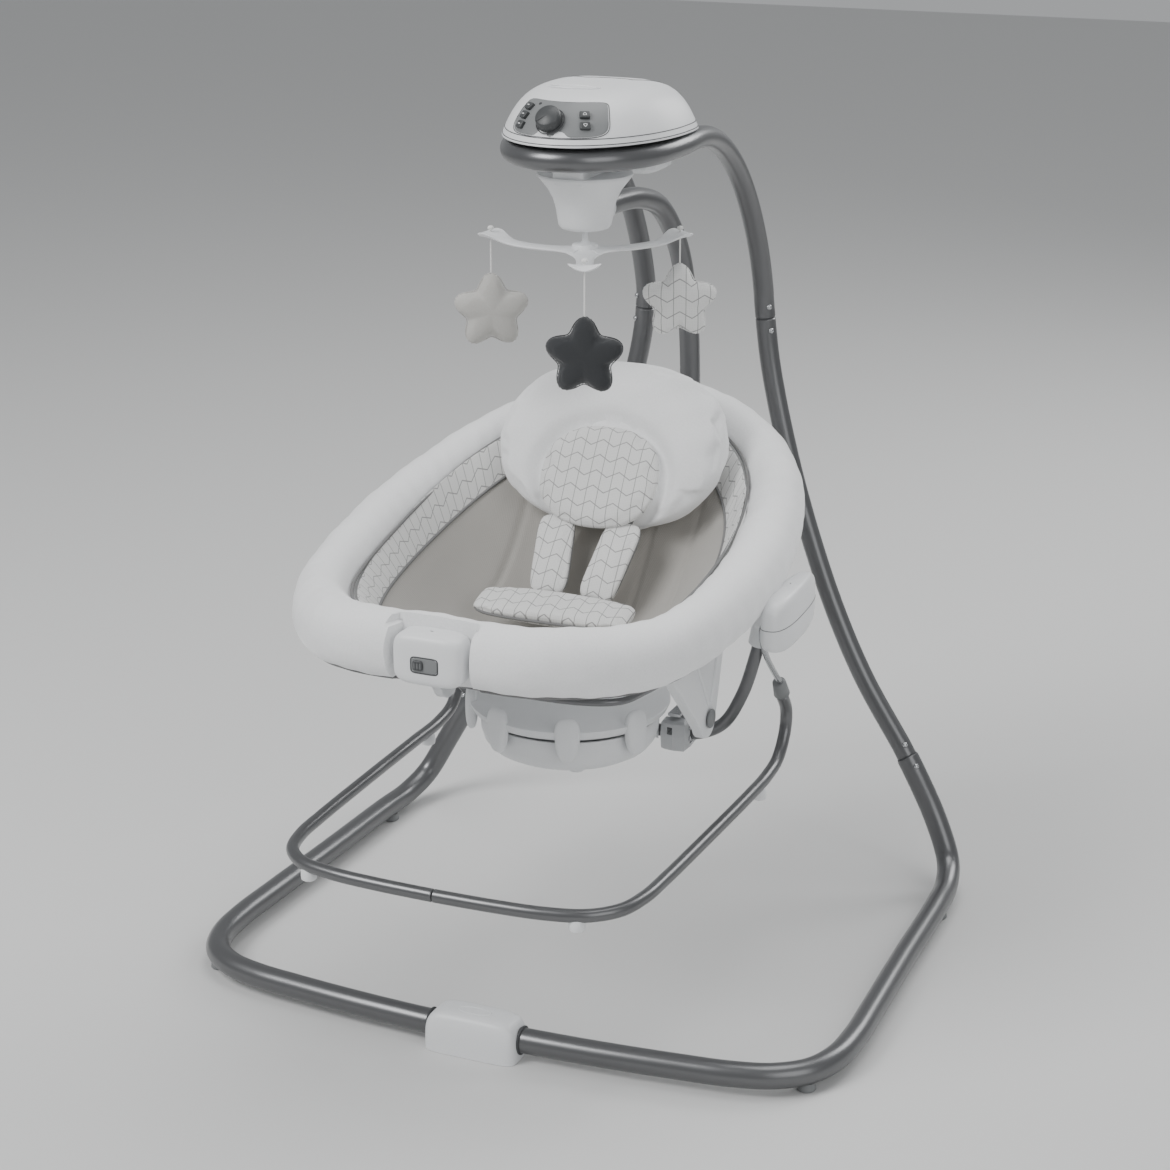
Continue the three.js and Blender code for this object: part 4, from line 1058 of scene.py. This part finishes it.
@dataclass
class PaddedSeat:
    """The seat: shell, wire, padded rim, liner, pillow, harness pads and vibration unit."""

    rings: int = 60

    def build(self) -> None:
        """Makes every piece of the seat."""
        self.rim()
        self.liner()
        self.shell()
        self.pillow()
        self.harness()
        self.pod()
        half = [(168, -6, 372), (166, -70, 376), (164, -150, 382), (162, -225, 389), (152, -268, 392),
                (118, -285, 393)]
        wire = [*half, (0, -286, 393), *[(-x, y, z) for x, y, z in reversed(half)]]
        put(tube("seat_wire", wire, WIRE_R, GREY_PAINT, 200, 16), "seat", "rim_wire")

    def rim(self) -> None:
        """The padded rim: a round ring with soft creases across it and a flat for the vibration unit, and
        the grey piping below it."""
        n = 360
        path = curve(RIM_POINTS, n, True)
        outward = path[:, :2] - [0, SEAT_Y]
        outward /= np.linalg.norm(outward, axis=1, keepdims=True)
        a = np.linspace(0, 2 * math.pi, 56, endpoint=False)[None]
        run = np.linspace(0, 2 * math.pi, n, endpoint=False)[:, None]
        crease = 0.5 * np.sin(61 * run + 2.2 * np.sin(a)) + 0.7 * np.sin(23 * run + 1.3 * a)
        crease = crease + 0.5 * np.sin(9 * run - 2 * a)
        radius = RIM_R + crease * 0.55 - 1.2 * np.exp(-(((a - 5.1) / 0.16) ** 2))
        flat = radius * np.cos(a)
        grid = np.stack([path[:, :1] + outward[:, :1] * flat, path[:, 1:2] + outward[:, 1:] * flat,
                         path[:, 2:] + 1.08 * radius * np.sin(a)], axis=-1)
        room = (np.abs(grid[..., 0]) < 41) & (grid[..., 1] < -322.5)
        grid[..., 1] = np.where(room, -322.5, grid[..., 1])
        rim = grid_object("rim_padding", grid, PLUSH, (True, True), smooth_angle=50)
        stuffed(rim, 6.0)
        put(rim, "seat", "seat_rim")
        for name, angle, reach in (("lower", 5.1, 30.4), ("inner", 2.72, 30.2)):
            line = np.column_stack([path[:, :2] + outward * reach * math.cos(angle),
                                    path[:, 2] + 1.08 * reach * math.sin(angle)])
            line[:, 1] = np.where((np.abs(line[:, 0]) < 41) & (line[:, 1] < -322.5), -323.5, line[:, 1])
            put(tube(f"rim_piping_{name}", line, PIPING_R, PIPING, 500, 10, True), "seat")

    def liner(self) -> None:
        """The liner: a chevron band under the rim and the grey-beige bowl with stitched channels."""
        path = curve(RIM_POINTS, 320, True)
        for name, low, high, finish in (("bowl", 0.001, BAND_START, LINER),
                                        ("band", BAND_START, BAND_END, PRINT)):
            k = np.linspace(0, 1, self.rings)
            r = low + (high - low) * k
            top = seat_surface(path, r[None])
            if name == "band":
                puff = 3.0 * np.sin(math.pi * k) ** 0.6
            else:
                puff = 2.2 * np.clip((1 - k) / 0.06, 0, 1) ** 0.5
            top[..., 2] += puff
            across = np.abs(top[..., 0])
            channel = sum(np.exp(-(((across - x) / 3.2) ** 2)) for x in SEAM_X)
            middle = np.exp(-(((top[..., 1] + 22) / 3.2) ** 2)) * (across < SEAM_X[1])
            back = 1 / (1 + np.exp(-(top[..., 1] + 20) / 6))
            if name == "bowl":
                top[..., 2] -= 3.4 * np.clip(channel * back + middle, 0, 1)
            under = seat_surface(path, r[None, ::-1], 8.0)
            grid = np.concatenate([top, under], axis=1)
            piece = grid_object(f"liner_{name}", grid, finish, smooth_angle=60)
            put(piece, "seat", *(["seat_liner"] if name == "bowl" else []))
        edge = seat_surface(path, np.array([[BAND_START]]))[:, 0] + [0, 0, 1.4]
        put(tube("liner_piping", edge, 1.6, PIPING, 500, 10, True), "seat")

    def shell(self) -> None:
        """The rigid shell under the liner, with a ribbed flap over each recline pin."""
        path = curve(RIM_POINTS, 160, True)
        r = np.linspace(0.001, 0.8, 40)
        grid = np.concatenate([seat_surface(path, r[None], 17.0), seat_surface(path, r[None, ::-1], 13.0)],
                              axis=1)
        put(grid_object("shell", grid, WHITE_PLASTIC), "seat", "seat_shell")
        arc = np.linspace(math.pi * 1.12, math.pi * 1.88, 24)
        outline = np.array([(-168, 114), (-60, 8), *zip(PIN_Y + 21 * np.cos(arc), 21 * np.sin(arc)),
                            (14, 60), (24, 114)])
        for side in Side:
            s, word = side.value, side.word
            depths = ((139.5, 0.96), (140.3, 1.0), (149.6, 1.0), (150.5, 0.96))
            centre = outline.mean(axis=0)
            rings = [(s * x, centre + (outline - centre) * k) for x, k in depths]
            grid = np.stack([np.column_stack([np.full(len(ring), x), ring]) for x, ring in rings], axis=1)
            grid = grid + [0, 0, PIN_Z]
            grid[..., 2] = np.minimum(grid[..., 2], 402)
            put(grid_object(f"shell_flap_{word}", grid, WHITE_PLASTIC, caps=True, smooth_angle=30), "seat")
            for number, foot in enumerate((-84, 8)):
                rib = [(s * 150.8, PIN_Y + 3 * (1 if foot > 0 else -1), PIN_Z + 16),
                       (s * 150.8, foot, PIN_Z + 104)]
                put(tube(f"shell_rib_{word}_{number}", rib, 1.6, WHITE_PLASTIC, 12, 8), "seat")

    def pad(self, name: str, half: tuple[float, float, float], lean: float,
            place: tuple[float, float, float], finish: Finish,
            nodes: Sequence[str], spin: float, plan: float) -> None:
        """A stuffed pad: a flattened pebble with small puckers along its edge and piping round it.

        Args:
            name: the pad's name.
            half: its half sizes.
            lean: its turn about X, in radians.
            place: its middle.
            finish: what it looks like.
            nodes: the CAD pieces that it stands for.
            spin: its turn in its own plane, in radians.
            plan: how square its outline is; 1 is an oval.
        """
        grid = pebble_grid(half, plan, 0.62, 128, 40)
        t = np.linspace(0, 2 * math.pi, 128, endpoint=False)[:, None]
        s = np.linspace(-1, 1, 40)[None]
        grid[..., 2] *= 1 + 0.07 * np.cos(24 * t) * (1 - np.abs(s)) ** 1.5
        grid = turned(grid, lean, spin) + np.array(place)
        piece = grid_object(name, grid, finish, caps=True, smooth_angle=60)
        flat_uv(piece, lean)
        stuffed(piece, 4.0, 2.0)
        put(piece, "seat", *nodes)
        edge = np.column_stack([half[0] * power(np.cos(t), plan), half[1] * power(np.sin(t), plan), 0 * t])
        put(tube(f"{name}_piping", turned(edge, lean, spin) + np.array(place), 1.5, PIPING, 260, 10, True),
            "seat")

    def pillow(self) -> None:
        """The head pillow: a full white horseshoe round a chevron middle."""
        lean, place = 1.0, np.array([0.0, 85.0, 530.0])
        grid = pebble_grid((125, 92, 22), 0.86, 0.62, 200, 72)
        x, y = grid[..., 0], grid[..., 1]
        near = np.sqrt((x / 70) ** 2 + ((y + 42) / 60) ** 2)
        top = grid[..., 2] > 0
        ring = np.exp(-(((near - 1.0) / 0.13) ** 2))
        wave = 0.9 * np.sin(0.09 * x + 0.05 * y) + 0.6 * np.sin(0.16 * y - 0.07 * x + 1.0)
        grid[..., 2] += np.where(top & (near < 1), -4.5 * (1 - near**2), 0)
        grid[..., 2] += np.where(top, -11 * ring + wave * np.clip(near - 1, 0, 1), 0)
        piece = grid_object("pillow", turned(grid, lean) + place, PLUSH, caps=True, smooth_angle=60)
        stuffed(piece, 5.0)
        put(piece, "seat", "head_pillow")
        inner = pebble_grid((66, 56, 9), 0.86, 0.7, 128, 40) + [0, -42, 19.5]
        patch = grid_object("pillow_middle", turned(inner, lean) + place, PRINT, caps=True, smooth_angle=60)
        flat_uv(patch, lean)
        stuffed(patch, 4.0, 2.0)
        put(patch, "seat")

    def harness(self) -> None:
        """Shoulder pads, the webbing below them and the waist pad."""
        for side in Side:
            s, word = side.value, side.word
            self.pad(f"strap_pad_{word}", (19.5, 43, 6), 0.85, (s * 32, 0, 431), PRINT,
                     [f"shoulder_pad_{word}"], -0.15 * s, 0.4)
            web = [(s * 37, 32, 470), (s * 31, 0, 432), (s * 25, -30, 400), (s * 22, -50, 392)]
            path = curve(web, 40)
            across = np.array([8.0, 0, 0])
            lift = np.array([0, -0.6, 0.8])
            grid = np.stack([path - across - lift, path + across - lift, path + across + lift,
                             path - across + lift], axis=0)
            put(grid_object(f"webbing_{word}", grid, PIPING, caps=True, smooth_angle=30), "seat")
        self.pad("waist_cushion", (82, 26, 8), 0.25, (0, -70, 398), PRINT, ["waist_pad"], 0.0, 0.45)

    def pod(self) -> None:
        """The vibration unit in the front of the rim, its ribbed slider and the piping round its place."""
        put(grid_object("pod", pebble_grid((35, 17, 25), 0.42, 0.45, 96, 48) + [0, POD_Y, 438],
                        WHITE_PLASTIC), "seat", "vibration_unit")
        t = np.linspace(0, 2 * math.pi, 96, endpoint=False)
        frame_line = np.stack([13.5 * power(np.cos(t), 0.3), np.full(96, POD_Y - 16.7),
                               435 + 7.5 * power(np.sin(t), 0.3)], axis=-1)
        put(tube("pod_slot", frame_line, 0.8, GROOVE, 160, 8, True), "seat")
        face = pebble_grid((13, 1.2, 7), 0.3, 0.4, 48, 16) + [0, POD_Y - 16.4, 435]
        put(grid_object("pod_recess", face, PANEL_GREY), "seat")
        slider = pebble_grid((5, 2.2, 4.8), 0.3, 0.4, 48, 16) + [-6, POD_Y - 17.2, 435]
        put(grid_object("pod_slider", slider, DARK_PLASTIC), "vibration_slider", "vibration_switch")
        for number, x in enumerate((-9, -6, -3)):
            put(tube(f"pod_slider_rib_{number}", [(x, POD_Y - 19.2, 431.5), (x, POD_Y - 19.2, 438.5)], 0.5,
                     PANEL_GREY, 8, 8),
                "vibration_slider")
        edge = np.stack([40 * power(np.cos(t), 0.35), np.full(96, -324.0),
                         438 + 30 * power(np.sin(t), 0.35)], axis=-1)
        put(tube("pod_piping", edge, PIPING_R, PIPING, 300, 10, True), "seat")


# ---------------------------------------------------------------- the room

@dataclass(frozen=True)
class Studio:
    """A plain pale floor, soft lights and the camera."""

    camera_mm: tuple[float, float, float] = (1002.0, -2319.0, 1249.6)
    azimuth: float = 23.29
    elevation: float = 18.55
    lens: float = 80.0

    def build(self) -> None:
        """Makes the floor, the lights, the background and the camera."""
        scene = bpy.context.scene
        world = bpy.data.worlds.new("room")
        world.use_nodes = True
        world.node_tree.nodes["Background"].inputs["Color"].default_value = (0.86, 0.88, 0.9, 1.0)
        world.node_tree.nodes["Background"].inputs["Strength"].default_value = 0.46
        scene.world = world
        floor_mesh = bpy.data.meshes.new("floor")
        floor_mesh.from_pydata([(-9, -9, 0), (9, -9, 0), (9, 9, 0), (-9, 9, 0)], [], [(0, 1, 2, 3)])
        floor_mesh.materials.append(SHADE(Finish("floor", (0.66, 0.66, 0.655), 0.85)))
        floor = bpy.data.objects.new("floor", floor_mesh)
        scene.collection.objects.link(floor)
        for name, place, power_watts, size in (
            ("key", (-1.6, -2.2, 2.9), 92, 1.6), ("fill", (2.4, -1.6, 1.7), 24, 2.0),
            ("top", (0.2, 0.6, 3.2), 34, 1.8), ("rim", (1.2, 2.4, 2.0), 30, 1.2),
        ):
            light = bpy.data.lights.new(name, "AREA")
            light.energy = power_watts
            light.size = size
            lamp = bpy.data.objects.new(name, light)
            lamp.location = place
            lamp.rotation_euler = (Vector((0, 0, 0.45)) - Vector(place)).to_track_quat("-Z", "Y").to_euler()
            scene.collection.objects.link(lamp)
        lens = bpy.data.cameras.new("camera")
        lens.lens = self.lens
        lens.sensor_width = 36.0
        camera = bpy.data.objects.new("camera", lens)
        camera.location = tuple(v * MM for v in self.camera_mm)
        camera.rotation_euler = (math.radians(90 - self.elevation), 0, math.radians(self.azimuth))
        scene.collection.objects.link(camera)
        scene.camera = camera


def main() -> None:
    """Builds the whole swing and its room."""
    logging.basicConfig(level=logging.INFO, format="%(message)s")
    for part in (FloorFrame(), MotorHead(), HangerArm(), ToyMobile(), BouncerBase(), PaddedSeat()):
        part.build()
        LOG.info("%s built", type(part).__name__)
    Studio().build()


if __name__ == "__main__":
    main()
